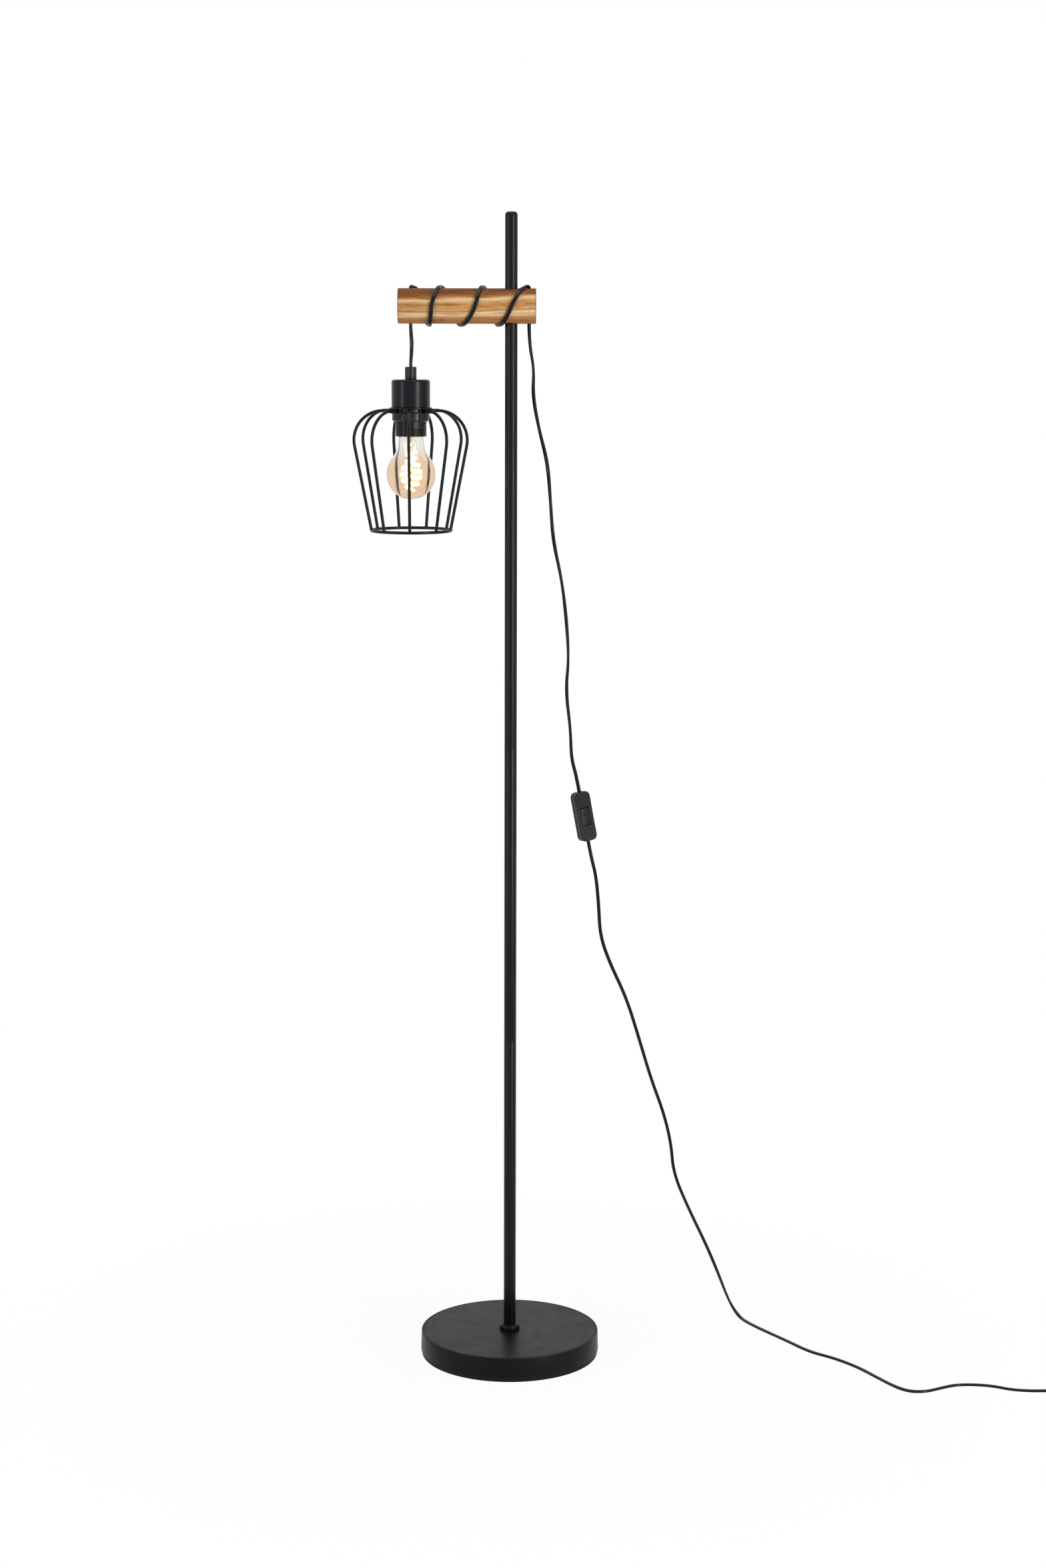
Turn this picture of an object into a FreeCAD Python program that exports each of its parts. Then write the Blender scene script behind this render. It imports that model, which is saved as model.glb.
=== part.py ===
import FreeCAD, Part
import math
import os

import Sketcher
from FreeCAD import Placement, Rotation, Vector

# A floor lamp: a round weighted base, a pole screwed together from four tubes, a short round
# wooden beam across the pole, and a pendant lampholder with a wire cage hanging from the beam.
# The twin flex runs from the lampholder up through the beam, three times round it, down through
# its other end and over the floor to the plug, with a rocker switch on the way.
# All sizes are in millimetres. The origin is the middle of the base's underside, +Z is up,
# the long end of the beam points to -X and the lamp is seen from -Y.

SIZES = [
    # name, millimetres, what it is
    ("base_radius", 118.0, "outer radius of the base cover"),
    ("base_height", 32.2, "top of the base cover above the floor"),
    ("base_edge_round", 1.2, "rounding of the cover's outer top edge"),
    ("cover_wall", 1.2, "sheet thickness of the base cover"),
    ("lip_inset", 2.4, "rim to the fine groove in the cover's top"),
    ("lip_width", 0.8, "width of that groove"),
    ("lip_depth", 0.5, "depth of that groove"),
    ("tray_band", 6.4, "band of the moulded tray that shows below the cover"),
    ("tray_rise", 12.0, "top of the tray's rim, inside the cover"),
    ("tray_floor", 2.5, "thickness of the tray's floor"),
    ("tray_wall", 3.0, "thickness of the tray's rim"),
    ("tray_gap", 0.2, "tray's rim to the inside of the cover"),
    ("tray_rib", 70.0, "radius of the tray's rib, on which the weight rests"),
    ("weight_inset", 6.0, "cover's rim to the edge of the iron weight"),
    ("weight_thick", 9.5, "thickness of the iron weight"),
    ("stud_radius", 5.0, "threaded studs, M10"),
    ("thread_gap", 0.05, "radial play of a screwed fit"),
    ("stud_passage", 5.5, "radius of the holes the base stud passes through"),
    ("base_stud_rise", 20.0, "base stud above the cover"),
    ("base_stud_end", 9.0, "lower end of the base stud above the floor"),
    ("washer_radius", 15.0, "washer under the weight"),
    ("washer_thick", 2.0, "its thickness"),
    ("nut_across", 17.0, "base nut across its flats"),
    ("nut_height", 8.0, "base nut"),
    ("tube_radius", 8.0, "outer radius of the pole"),
    ("tube_wall", 1.0, "wall of the pole tubes"),
    ("tube_edge", 0.35, "bevel on the ends of each tube, which shows as a fine line"),
    ("lower_tube", 394.0, "length of the lowest tube"),
    ("middle_tube", 388.0, "length of each of the two middle tubes"),
    ("pole_above", 112.8, "pole above the beam's axis"),
    ("bush_length", 14.0, "threaded bushes in the tube ends"),
    ("stud_length", 26.0, "studs that join the tubes"),
    ("collar_radius", 13.2, "collar round the pole's foot"),
    ("collar_height", 7.0, "its height"),
    ("collar_round", 1.5, "rounding of its top edge"),
    ("collar_gap", 0.1, "collar to pole"),
    ("cap_height", 4.8, "domed cap on the pole"),
    ("cap_round", 4.2, "rounding of the cap"),
    ("cap_stem", 12.0, "stem of the cap inside the tube"),
    ("beam_radius", 22.2, "radius of the wooden beam"),
    ("beam_height", 1378.4, "axis of the beam above the floor"),
    ("beam_long", 143.3, "pole axis to the beam's long end"),
    ("beam_short", 31.4, "pole axis to the beam's short end"),
    ("beam_round", 1.2, "rounding of the beam's ends"),
    ("pole_play", 0.08, "radial play of the pole in the beam"),
    ("flex_hole", 4.2, "radius of the beam's two holes for the flex"),
    ("pendant_reach", 127.4, "pole axis to the pendant's axis"),
    ("lead_reach", 22.6, "pole axis to the hole the lead leaves from"),
    ("insert_radius", 4.5, "threaded insert in the back of the beam"),
    ("insert_length", 11.0, "its length"),
    ("set_screw_radius", 3.0, "set screw that clamps the beam on the pole, M6"),
    ("set_screw_length", 12.0, "its length"),
    ("set_screw_socket", 1.5, "inner radius of its hexagon socket"),
    ("set_screw_play", 0.05, "tip of the set screw to the pole, eased off"),
    ("flex_radius", 2.2, "twin flex, as a round of the same section"),
    ("wrap_gap", 0.3, "wound flex to the wood"),
    ("drop_length", 54.0, "flex between the beam and the cord grip"),
    ("grip_radius", 7.4, "cord grip"),
    ("grip_length", 16.0, "its length"),
    ("grip_round", 1.4, "rounding of its top edge"),
    ("grip_bore", 2.4, "bore for the flex"),
    ("grip_nipple", 7.5, "threaded end of the grip below the cup's top"),
    ("grip_screw_radius", 1.5, "nylon screw that pinches the flex"),
    ("cup_radius", 24.5, "cup over the lampholder"),
    ("cup_height", 35.2, "its height"),
    ("cup_wall", 1.0, "its wall"),
    ("cup_round", 3.0, "rounding of its top edge"),
    ("plate_radius", 27.4, "the cage's two top plates"),
    ("plate_thick", 1.8, "their thickness"),
    ("plate_play", 0.3, "plates to the lampholder's thread"),
    ("wire_radius", 2.0, "cage wire"),
    ("wire_start", 24.0, "inner end of each cage wire"),
    ("shoulder_start", 36.0, "radius where a cage wire starts to bend down"),
    ("shoulder_bend", 37.0, "radius of that bend"),
    ("cage_mouth", 51.0, "radius of the cage's bottom ring"),
    ("cage_depth", 152.1, "wire level at the plates to the bottom ring"),
    ("ring_radius", 23.8, "shade ring"),
    ("ring_height", 9.8, "its height"),
    ("ring_chamfer", 1.6, "bevel of its lower edge"),
    ("notch_width", 2.6, "grip notches of the shade ring"),
    ("notch_depth", 1.1, "their depth"),
    ("skirt_radius", 20.2, "crest of the lampholder's outer thread"),
    ("skirt_length", 36.5, "lampholder below the cup"),
    ("skirt_pitch", 2.5, "pitch of that thread"),
    ("skirt_thread", 0.9, "depth of that thread"),
    ("skirt_bore", 17.8, "bore of the lampholder at its mouth and round the insert"),
    ("sleeve_bore", 14.5, "bore of the lampholder round the contact shell"),
    ("mouth_depth", 8.0, "depth of the wide mouth"),
    ("flange_radius", 22.5, "lampholder flange on the upper plate"),
    ("flange_thick", 2.0, "its thickness"),
    ("body_rise", 9.0, "lampholder body above the plate"),
    ("cap_wall", 2.0, "wall of the lampholder's cap"),
    ("insert_drop", 8.6, "ceramic insert below the upper plate's top"),
    ("insert_rise", 5.0, "ceramic insert above that level"),
    ("shell_bore", 13.45, "bore of the contact shell"),
    ("shell_wall", 0.5, "its wall"),
    ("shell_length", 24.9, "its length"),
    ("contact_radius", 3.0, "spring contact"),
    ("contact_play", 0.1, "spring contact to the bulb"),
    ("core_radius", 0.9, "insulated core of the flex"),
    ("terminal_reach", 8.0, "terminals off the lampholder's axis"),
    ("terminal_radius", 2.0, "terminal screws"),
    ("terminal_height", 3.0, "their height"),
    ("bulb_radius", 31.4, "widest radius of the bulb"),
    ("bulb_middle", 85.0, "upper plate's top down to the bulb's widest level"),
    ("bulb_shoulder", 35.5, "radius of the bulb's upper curve"),
    ("bulb_waist", 25.8, "radius of the hollow curve into the neck"),
    ("bulb_wall", 0.8, "glass thickness"),
    ("bulb_cap_crest", 13.15, "crest radius of the bulb's screw cap"),
    ("bulb_cap_root", 12.2, "root radius of that thread"),
    ("bulb_cap_wall", 0.4, "its sheet"),
    ("bulb_cap_pitch", 3.6, "its pitch"),
    ("bulb_cap_length", 20.4, "screw cap"),
    ("bulb_insulator_height", 2.0, "black glass on the screw cap"),
    ("bulb_tip_height", 1.4, "solder contact on top"),
    ("bulb_tip_radius", 4.8, "its radius"),
    ("stem_radius", 2.2, "glass stem inside the bulb"),
    ("filament_radius", 0.9, "spiral filament"),
    ("filament_widest", 13.6, "widest radius of the spiral"),
    ("filament_length", 48.0, "height of the spiral"),
    ("switch_length", 66.0, "in-line switch"),
    ("switch_width", 23.0, "its width"),
    ("switch_depth", 15.0, "its depth"),
    ("switch_corner", 7.0, "rounding of its corners"),
    ("switch_edge", 1.6, "rounding of its edges"),
    ("switch_wall", 1.6, "its wall"),
    ("switch_dip", 2.0, "how far its face is hollowed"),
    ("switch_split", 1.0, "joint of its two shells behind its middle"),
    ("switch_east", 96.3, "switch, place"),
    ("switch_back", 61.0, "switch, place"),
    ("switch_up", 715.0, "switch, place"),
    ("rocker_reach", 12.0, "rocker, from its pin to its ends"),
    ("rocker_width", 13.0, "its width"),
    ("rocker_play", 0.3, "rocker to its window"),
    ("rocker_pin", 1.0, "radius of its pin"),
    ("rocker_pin_play", 0.05, "pin to its holes"),
    ("rocker_depth", 2.5, "pin in front of the switch's middle"),
    ("floor_level", 2.7, "height of the flex's axis where it lies on the floor"),
    ("coil_east", 752.0, "middle of the put-away coil"),
    ("coil_inner", 24.0, "smallest radius of its turns"),
    ("coil_pitch", 5.8, "step between turns side by side"),
    ("coil_layer", 4.9, "step between the two layers"),
    ("tie_wall", 0.4, "twist tie round the coil"),
    ("tie_width", 4.0, "its width"),
    ("plug_width", 35.3, "flat two-pin plug"),
    ("plug_depth", 36.0, "its body along the pins"),
    ("plug_height", 14.4, "its thickness"),
    ("plug_neck", 15.0, "width at the end the flex comes from"),
    ("plug_round", 2.4, "rounding of its edges"),
    ("relief_length", 30.0, "strain relief"),
    ("relief_radius", 5.2, "strain relief at the plug"),
    ("relief_tip", 3.0, "strain relief at its tip"),
    ("pin_radius", 2.0, "plug pins"),
    ("pin_length", 19.0, "their length"),
    ("pin_spacing", 18.6, "their distance"),
    ("pin_bare", 9.0, "bare metal at the end of each pin"),
    ("pin_step", 0.25, "how much slimmer in radius the insulated part of each pin is"),
]
SKIRT_THREADS = 7
BULB_THREADS = 5
CAGE_WIRES = 9
RING_NOTCHES = 12
FILAMENT_TURNS = 4
FRONT_WIRE_ANGLE = -90.0
SWITCH_LEAN = -10.5
SWITCH_TURN = 30.0


class Size:
    """A number together with the spreadsheet expression that gives it."""

    def __init__(self, number, text):
        self.number = number
        self.text = text

    def joined(self, sign, other, number):
        right = other.text if isinstance(other, Size) else repr(float(other))
        return Size(number, "(" + self.text + " " + sign + " " + right + ")")

    def __add__(self, other):
        return self.joined("+", other, self.number + plain(other))

    def __sub__(self, other):
        return self.joined("-", other, self.number - plain(other))

    def __mul__(self, other):
        return self.joined("*", other, self.number * plain(other))

    def __truediv__(self, other):
        return self.joined("/", other, self.number / plain(other))

    def __neg__(self):
        return self * -1.0


def plain(value):
    return value.number if isinstance(value, Size) else float(value)


document = FreeCAD.newDocument("FloorLamp")
sheet = document.addObject("Spreadsheet::Sheet", "Sizes")
for row, (name, number, meaning) in enumerate(SIZES, start=1):
    sheet.set("A%d" % row, name)
    sheet.set("B%d" % row, str(number))
    sheet.set("C%d" % row, meaning)
    sheet.setAlias("B%d" % row, name)
document.recompute()


class Sheet:
    """Each size of the spreadsheet, by its name."""

    def __getattr__(self, name):
        return Size(float(sheet.get(name)), "Sizes." + name)


s = Sheet()
ZERO = s.base_radius * 0.0
subparts = {}


def bind(item, prop, value):
    if isinstance(value, Size):
        item.setExpression(prop, value.text)
    else:
        item.setExpression(prop, repr(float(value)))


def place(item, x=0.0, y=0.0, z=0.0):
    for axis, value in zip("xyz", (x, y, z)):
        bind(item, "Placement.Base." + axis, value)


def keep(name, item):
    """Files the finished object as the sub-part of that name."""
    item.Label = name
    subparts[name] = item
    return item


def cylinder(name, radius, height, x=0.0, y=0.0, z=0.0, along="Z"):
    item = document.addObject("Part::Cylinder", name)
    bind(item, "Radius", radius)
    bind(item, "Height", height)
    turn = {
        "Z": Rotation(),
        "Y": Rotation(Vector(1, 0, 0), -90),
        "X": Rotation(Vector(0, 1, 0), 90),
    }
    item.Placement = Placement(Vector(), turn[along])
    place(item, x, y, z)
    return item


def box(name, length, width, height, x=0.0, y=0.0, z=0.0):
    """A box whose x, y and z give the middle of its lowest face."""
    item = document.addObject("Part::Box", name)
    bind(item, "Length", length)
    bind(item, "Width", width)
    bind(item, "Height", height)
    place(item, ZERO + x - length / 2.0, ZERO + y - width / 2.0, z)
    return item


def cut(name, base, *tools):
    tool = tools[0] if len(tools) == 1 else fuse(name + "_tools", *tools)
    item = document.addObject("Part::Cut", name)
    item.Base = base
    item.Tool = tool
    return item


def fuse(name, *pieces):
    item = document.addObject("Part::MultiFuse", name)
    item.Shapes = list(pieces)
    return item


def group(name, *pieces):
    item = document.addObject("Part::Compound", name)
    item.Links = list(pieces)
    return item


def rounded(name, base, radius, chosen):
    """Rounds the edges of base for which chosen(edge) is true."""
    document.recompute()
    item = document.addObject("Part::Fillet", name)
    item.Base = base
    size = plain(radius)
    item.Edges = [
        (number, size, size)
        for number, edge in enumerate(base.Shape.Edges, start=1)
        if chosen(edge)
    ]
    return item


def feature(name, shape):
    item = document.addObject("Part::Feature", name)
    item.Shape = shape
    return item


def outline_sketch(body, plane, points):
    """A closed sketch of straight lines through points, each bound to its sizes."""
    sketch = body.newObject("Sketcher::SketchObject", body.Name + "_outline")
    origin_plane = [f for f in body.Origin.OriginFeatures if f.Role == plane][0]
    sketch.AttachmentSupport = [(origin_plane, "")]
    sketch.MapMode = "FlatFace"
    corners = [Vector(plain(x), plain(y), 0) for x, y in points]
    for start, end in zip(corners, corners[1:] + corners[:1]):
        sketch.addGeometry(Part.LineSegment(start, end), False)
    count = len(corners)
    for line in range(count):
        following = (line + 1) % count
        sketch.addConstraint(Sketcher.Constraint("Coincident", line, 2, following, 1))
    for line, (x, y) in enumerate(points):
        for kind, value in (("DistanceX", x), ("DistanceY", y)):
            constraint = Sketcher.Constraint(kind, -1, 1, line, 1, plain(value))
            number = sketch.addConstraint(constraint)
            label = kind[-1].lower() + str(line)
            sketch.renameConstraint(number, label)
            bind(sketch, "Constraints." + label, value)
    return sketch


def turned(name, points, x=0.0):
    """A body turned about an upright axis at x, from its half outline of (radius, height)."""
    body = document.addObject("PartDesign::Body", name)
    sketch = outline_sketch(body, "XZ_Plane", points)
    turning = body.newObject("PartDesign::Revolution", name + "_turned")
    turning.Profile = sketch
    turning.ReferenceAxis = (sketch, ["V_Axis"])
    turning.Angle = 360.0
    sketch.Visibility = False
    place(body, x)
    return body


def soften(body, radius, chosen):
    """Rounds the edges of a body's last feature for which chosen(edge) is true."""
    document.recompute()
    last = body.Tip
    names = [
        "Edge%d" % number
        for number, edge in enumerate(last.Shape.Edges, start=1)
        if chosen(edge)
    ]
    fillet = body.newObject("PartDesign::Fillet", body.Name + "_rounding")
    fillet.Base = (last, names)
    bind(fillet, "Radius", radius)
    body.Tip = fillet
    return body


def is_ring(radius, height):
    """True for a full circle of that radius about an upright axis, at that height."""

    def chosen(edge):
        curve = edge.Curve
        if not isinstance(curve, Part.Circle):
            return False
        level = abs(curve.Center.z - plain(height)) < 0.01
        return level and abs(curve.Radius - plain(radius)) < 0.01

    return chosen


# ---------------------------------------------------------------- paths of the flex


def corner_radius(before, corner, after):
    """The radius of the arc at a corner of a route, or none where the route is straight."""
    arriving = corner - before
    leaving = after - corner
    turn = arriving.getAngle(leaving)
    if turn < 1e-4:
        return None
    return 0.45 * min(arriving.Length, leaving.Length) / math.tan(turn / 2.0)


def rounded_route(points):
    """Straight runs through points, joined by tangent arcs as large as the runs allow."""
    edges = []
    start = points[0]
    for before, corner, after in zip(points, points[1:], points[2:]):
        radius = corner_radius(before, corner, after)
        if radius is None:
            continue
        arriving = (corner - before).normalize()
        leaving = (after - corner).normalize()
        reach = 0.45 * min((corner - before).Length, (after - corner).Length)
        first = corner - arriving * reach
        last = corner + leaving * reach
        inward = (leaving - arriving).normalize()
        half_turn = arriving.getAngle(leaving) / 2.0
        middle = corner + inward * (radius / math.cos(half_turn) - radius)
        edges.append(Part.LineSegment(start, first).toShape())
        edges.append(Part.Arc(first, middle, last).toShape())
        start = last
    edges.append(Part.LineSegment(start, points[-1]).toShape())
    return Part.Wire(edges)


def arc_from(start, direction, end):
    """The arc that leaves start along direction and arrives at end."""
    chord = end - start
    side = direction - chord * (direction.dot(chord) / chord.dot(chord))
    if side.Length < 1e-6:
        return Part.LineSegment(start, end).toShape()
    half = direction.getAngle(chord)
    middle = start + chord * 0.5
    bulge = chord.Length / 2.0 * math.tan(half / 2.0)
    middle = middle + Vector(side).normalize() * bulge
    return Part.Arc(start, middle, end).toShape()


def biarc(start, start_way, end, end_way):
    """Two arcs that join start to end smoothly, along the two given directions."""
    chord = end - start
    ways = start_way + end_way
    spread = 2.0 * (1.0 - start_way.dot(end_way))
    if spread < 1e-9:
        reach = chord.dot(chord) / (2.0 * chord.dot(ways))
    else:
        part = chord.dot(ways)
        root = math.sqrt(part * part + spread * chord.dot(chord))
        reach = (root - part) / spread
    first = start + start_way * reach
    last = end - end_way * reach
    join = (first + last) * 0.5
    join_way = (last - first).normalize()
    return [arc_from(start, start_way, join), arc_from(join, join_way, end)]


def smooth_path(knots):
    """Biarcs through knots, each a point and the direction of travel there."""
    edges = []
    for (start, start_way), (end, end_way) in zip(knots, knots[1:]):
        if start_way.cross(end - start).Length < 1e-6:
            edges.append(Part.LineSegment(start, end).toShape())
        else:
            edges += biarc(start, start_way, end, end_way)
    return Part.Wire(edges)


def tube_along(path, radius):
    """A round tube along a wire."""
    start = path.OrderedVertexes[0].Point
    way = path.OrderedEdges[0].tangentAt(path.OrderedEdges[0].FirstParameter)
    if (path.OrderedEdges[0].valueAt(path.OrderedEdges[0].FirstParameter) - start).Length > 0.01:
        way = way * -1.0
    ring = Part.Wire([Part.Circle(start, way, radius).toShape()])
    return path.makePipeShell([ring], True, False)


def check_tube(name, path, shape, radius):
    """Prints a tube's length and how its volume compares with section times length."""
    expected = math.pi * radius * radius * path.Length
    print("%s: length %.1f, volume ratio %.4f" % (name, path.Length, shape.Volume / expected))


def self_gap(name, path, radius, apart):
    """Prints the least gap of a wound tube to itself, measured on points along it."""
    points = path.discretize(Distance=2.0)
    step = path.Length / (len(points) - 1)
    skip = int(math.ceil(apart / step))
    least = min(
        (points[i] - points[j]).Length
        for i in range(len(points))
        for j in range(i + skip, len(points))
    )
    print("%s: least gap to itself %.2f" % (name, least - 2.0 * radius))


def flex_along(name, points, shortest):
    """A free stretch of flex through a hand-made route."""
    radii = [corner_radius(*trio) for trio in zip(points, points[1:], points[2:])]
    radii = [r for r in radii if r is not None]
    runs = [(b - a).Length for a, b in zip(points, points[1:])]
    print("%s: least radius %.1f of at least %.1f" % (name, min(radii), shortest))
    print("%s: runs %.0f to %.0f" % (name, min(runs), max(runs)))
    path = rounded_route(points)
    radius = plain(s.flex_radius)
    shape = tube_along(path, radius)
    check_tube(name, path, shape, radius)
    return keep(name, feature(name, shape))


# ---------------------------------------------------------------- base

cover_underside = s.base_height - s.cover_wall
groove_outer = s.base_radius - s.lip_inset
groove_inner = groove_outer - s.lip_width
groove_floor = s.base_height - s.lip_depth
base_cover = turned(
    "base_cover",
    [
        (s.stud_passage, cover_underside),
        (s.base_radius - s.cover_wall, cover_underside),
        (s.base_radius - s.cover_wall, s.tray_band),
        (s.base_radius, s.tray_band),
        (s.base_radius, s.base_height),
        (groove_outer, s.base_height),
        (groove_outer - s.lip_width / 3.0, groove_floor),
        (groove_inner, s.base_height),
        (s.stud_passage, s.base_height),
    ],
)
soften(base_cover, s.base_edge_round, is_ring(s.base_radius, s.base_height))
keep("base_cover", base_cover)

weight_bottom = cover_underside - s.weight_thick
weight_radius = s.base_radius - s.weight_inset
keep(
    "base_weight",
    turned(
        "base_weight",
        [
            (s.stud_passage, weight_bottom),
            (weight_radius, weight_bottom),
            (weight_radius, cover_underside),
            (s.stud_passage, cover_underside),
        ],
    ),
)

tray_radius = s.base_radius - s.cover_wall - s.tray_gap
keep(
    "base_tray",
    turned(
        "base_tray",
        [
            (ZERO, ZERO),
            (tray_radius, ZERO),
            (tray_radius, s.tray_rise),
            (tray_radius - s.tray_wall, s.tray_rise),
            (tray_radius - s.tray_wall, s.tray_floor),
            (s.tray_rib, s.tray_floor),
            (s.tray_rib, weight_bottom),
            (s.tray_rib - s.tray_wall, weight_bottom),
            (s.tray_rib - s.tray_wall, s.tray_floor),
            (ZERO, s.tray_floor),
        ],
    ),
)

washer_bottom = weight_bottom - s.washer_thick
washer = cut(
    "base_washer",
    cylinder("washer_disc", s.washer_radius, s.washer_thick, z=washer_bottom),
    cylinder("washer_hole", s.stud_passage, s.washer_thick, z=washer_bottom),
)
keep("base_washer", washer)

nut_bottom = washer_bottom - s.nut_height
nut_prism = document.addObject("Part::Prism", "nut_prism")
nut_prism.Polygon = 6
bind(nut_prism, "Circumradius", s.nut_across / math.sqrt(3.0))
bind(nut_prism, "Height", s.nut_height)
place(nut_prism, z=nut_bottom)
nut_thread = cylinder("nut_thread", s.stud_radius + s.thread_gap, s.nut_height, z=nut_bottom)
keep("base_nut", cut("base_nut", nut_prism, nut_thread))

base_stud_length = s.base_height + s.base_stud_rise - s.base_stud_end
keep("base_stud", cylinder("base_stud", s.stud_radius, base_stud_length, z=s.base_stud_end))

collar = turned(
    "pole_collar",
    [
        (s.tube_radius + s.collar_gap, s.base_height),
        (s.collar_radius, s.base_height),
        (s.collar_radius, s.base_height + s.collar_height),
        (s.tube_radius + s.collar_gap, s.base_height + s.collar_height),
    ],
)
soften(collar, s.collar_round, is_ring(s.collar_radius, s.base_height + s.collar_height))
keep("pole_collar", collar)

# ---------------------------------------------------------------- pole


def pole_tube(name, bottom, length):
    inner = s.tube_radius - s.tube_wall
    top = bottom + length
    outline = [
        (inner, bottom),
        (s.tube_radius - s.tube_edge, bottom),
        (s.tube_radius, bottom + s.tube_edge),
        (s.tube_radius, top - s.tube_edge),
        (s.tube_radius - s.tube_edge, top),
        (inner, top),
    ]
    keep(name, turned(name, outline))
    return top


def tube_bush(name, bottom):
    outer = cylinder(name + "_body", s.tube_radius - s.tube_wall, s.bush_length, z=bottom)
    inner = cylinder(name + "_thread", s.stud_radius + s.thread_gap, s.bush_length, z=bottom)
    return cut(name, outer, inner)


joint_one = pole_tube("pole_tube_lower", ZERO + s.base_height, s.lower_tube)
joint_two = pole_tube("pole_tube_second", joint_one, s.middle_tube)
joint_three = pole_tube("pole_tube_third", joint_two, s.middle_tube)
upper_length = s.beam_height + s.pole_above - joint_three
pole_top = pole_tube("pole_tube_upper", joint_three, upper_length)

bushes = [tube_bush("bush_base", ZERO + s.base_height)]
studs = []
for number, level in enumerate((joint_one, joint_two, joint_three), start=1):
    bushes.append(tube_bush("bush_below_%d" % number, level - s.bush_length))
    bushes.append(tube_bush("bush_above_%d" % number, level))
    stud_bottom = level - s.stud_length / 2.0
    studs.append(cylinder("stud_%d" % number, s.stud_radius, s.stud_length, z=stud_bottom))
keep("joint_bushes", group("joint_bushes", *bushes))
keep("joint_studs", group("joint_studs", *studs))

stem_radius = s.tube_radius - s.tube_wall - s.collar_gap
cap_top = pole_top + s.cap_height
pole_cap = turned(
    "pole_cap",
    [
        (ZERO, pole_top - s.cap_stem),
        (stem_radius, pole_top - s.cap_stem),
        (stem_radius, pole_top),
        (s.tube_radius, pole_top),
        (s.tube_radius, cap_top),
        (ZERO, cap_top),
    ],
)
soften(pole_cap, s.cap_round, is_ring(s.tube_radius, cap_top))
keep("pole_cap", pole_cap)

# ---------------------------------------------------------------- beam

beam_length = s.beam_long + s.beam_short
beam_bar = cylinder(
    "beam_bar", s.beam_radius, beam_length, x=-s.beam_long, z=s.beam_height, along="X"
)
beam_bar = rounded(
    "beam_rounded", beam_bar, s.beam_round, lambda edge: isinstance(edge.Curve, Part.Circle)
)
beam_bottom = s.beam_height - s.beam_radius
across = s.beam_radius * 2.0 + 2.0
below = beam_bottom - 1.0
pole_bore = s.tube_radius + s.pole_play
insert_start = s.beam_radius - s.insert_length - 1.0
beam = cut(
    "arm_beam",
    beam_bar,
    cylinder("beam_pole_hole", pole_bore, across, z=below),
    cylinder("beam_pendant_hole", s.flex_hole, across, x=-s.pendant_reach, z=below),
    cylinder("beam_lead_hole", s.flex_hole, across, x=s.lead_reach, z=below),
    cylinder("beam_insert_hole", s.insert_radius, across, y=insert_start, z=s.beam_height, along="Y"),
    cylinder(
        "beam_screw_hole",
        s.set_screw_radius + s.set_screw_play,
        s.beam_radius,
        z=s.beam_height,
        along="Y",
    ),
)
keep("arm_beam", beam)

insert_sleeve = cylinder(
    "insert_sleeve", s.insert_radius, s.insert_length, y=insert_start, z=s.beam_height, along="Y"
)
insert_thread = cylinder(
    "insert_thread",
    s.set_screw_radius + s.set_screw_play,
    s.insert_length,
    y=insert_start,
    z=s.beam_height,
    along="Y",
)
keep("screw_insert", cut("screw_insert", insert_sleeve, insert_thread))

screw_tip = s.tube_radius + s.set_screw_play
screw_rod = cylinder(
    "screw_rod", s.set_screw_radius, s.set_screw_length, y=screw_tip, z=s.beam_height, along="Y"
)
socket = document.addObject("Part::Prism", "screw_socket")
socket.Polygon = 6
socket_depth = s.set_screw_length / 4.0
bind(socket, "Circumradius", s.set_screw_socket)
bind(socket, "Height", socket_depth)
socket.Placement = Placement(Vector(), Rotation(Vector(1, 0, 0), -90))
place(socket, y=screw_tip + s.set_screw_length - socket_depth, z=s.beam_height)
keep("arm_set_screw", cut("arm_set_screw", screw_rod, socket))

# The flex wound on the beam. It comes up the hole over the pendant, goes over the top to the
# back and three times round, a little unevenly, and dives into the hole near the pole.

wrap_radius = plain(s.beam_radius + s.wrap_gap + s.flex_radius)
wrap_east = plain(s.lead_reach)
wrap_west = -plain(s.pendant_reach)
WRAP_HALF_TURNS = [-103.3, -89.8, -63.4, -36.3, -16.0, 17.1]
WRAP_FRONT_SHIFT = {1: -3.9, 3: 4.9}
WRAP_LEAD_IN = 26.0
WRAP_LEAD_OUT = 22.0


def wrap_points():
    """Turning angle and place along the beam of the wound flex, at each quarter turn."""
    stations = [(WRAP_LEAD_IN, wrap_west + 7.6)]
    half_turns = [wrap_west] + WRAP_HALF_TURNS
    for half, (west, east) in enumerate(zip(half_turns, half_turns[1:])):
        quarter_place = (west + east) / 2.0 + WRAP_FRONT_SHIFT.get(half, 0.0)
        stations.append((90.0 + 180.0 * half, quarter_place))
        stations.append((180.0 + 180.0 * half, east))
    last_angle = stations[-1][0] - WRAP_LEAD_OUT
    stations[-1] = (last_angle, wrap_east - 8.0)
    return stations


def on_beam(angle, along):
    """The point of the wound flex at an angle, from the top over the back to the bottom."""
    turn = math.radians(angle)
    height = plain(s.beam_height) + wrap_radius * math.cos(turn)
    return Vector(along, wrap_radius * math.sin(turn), height)


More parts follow.
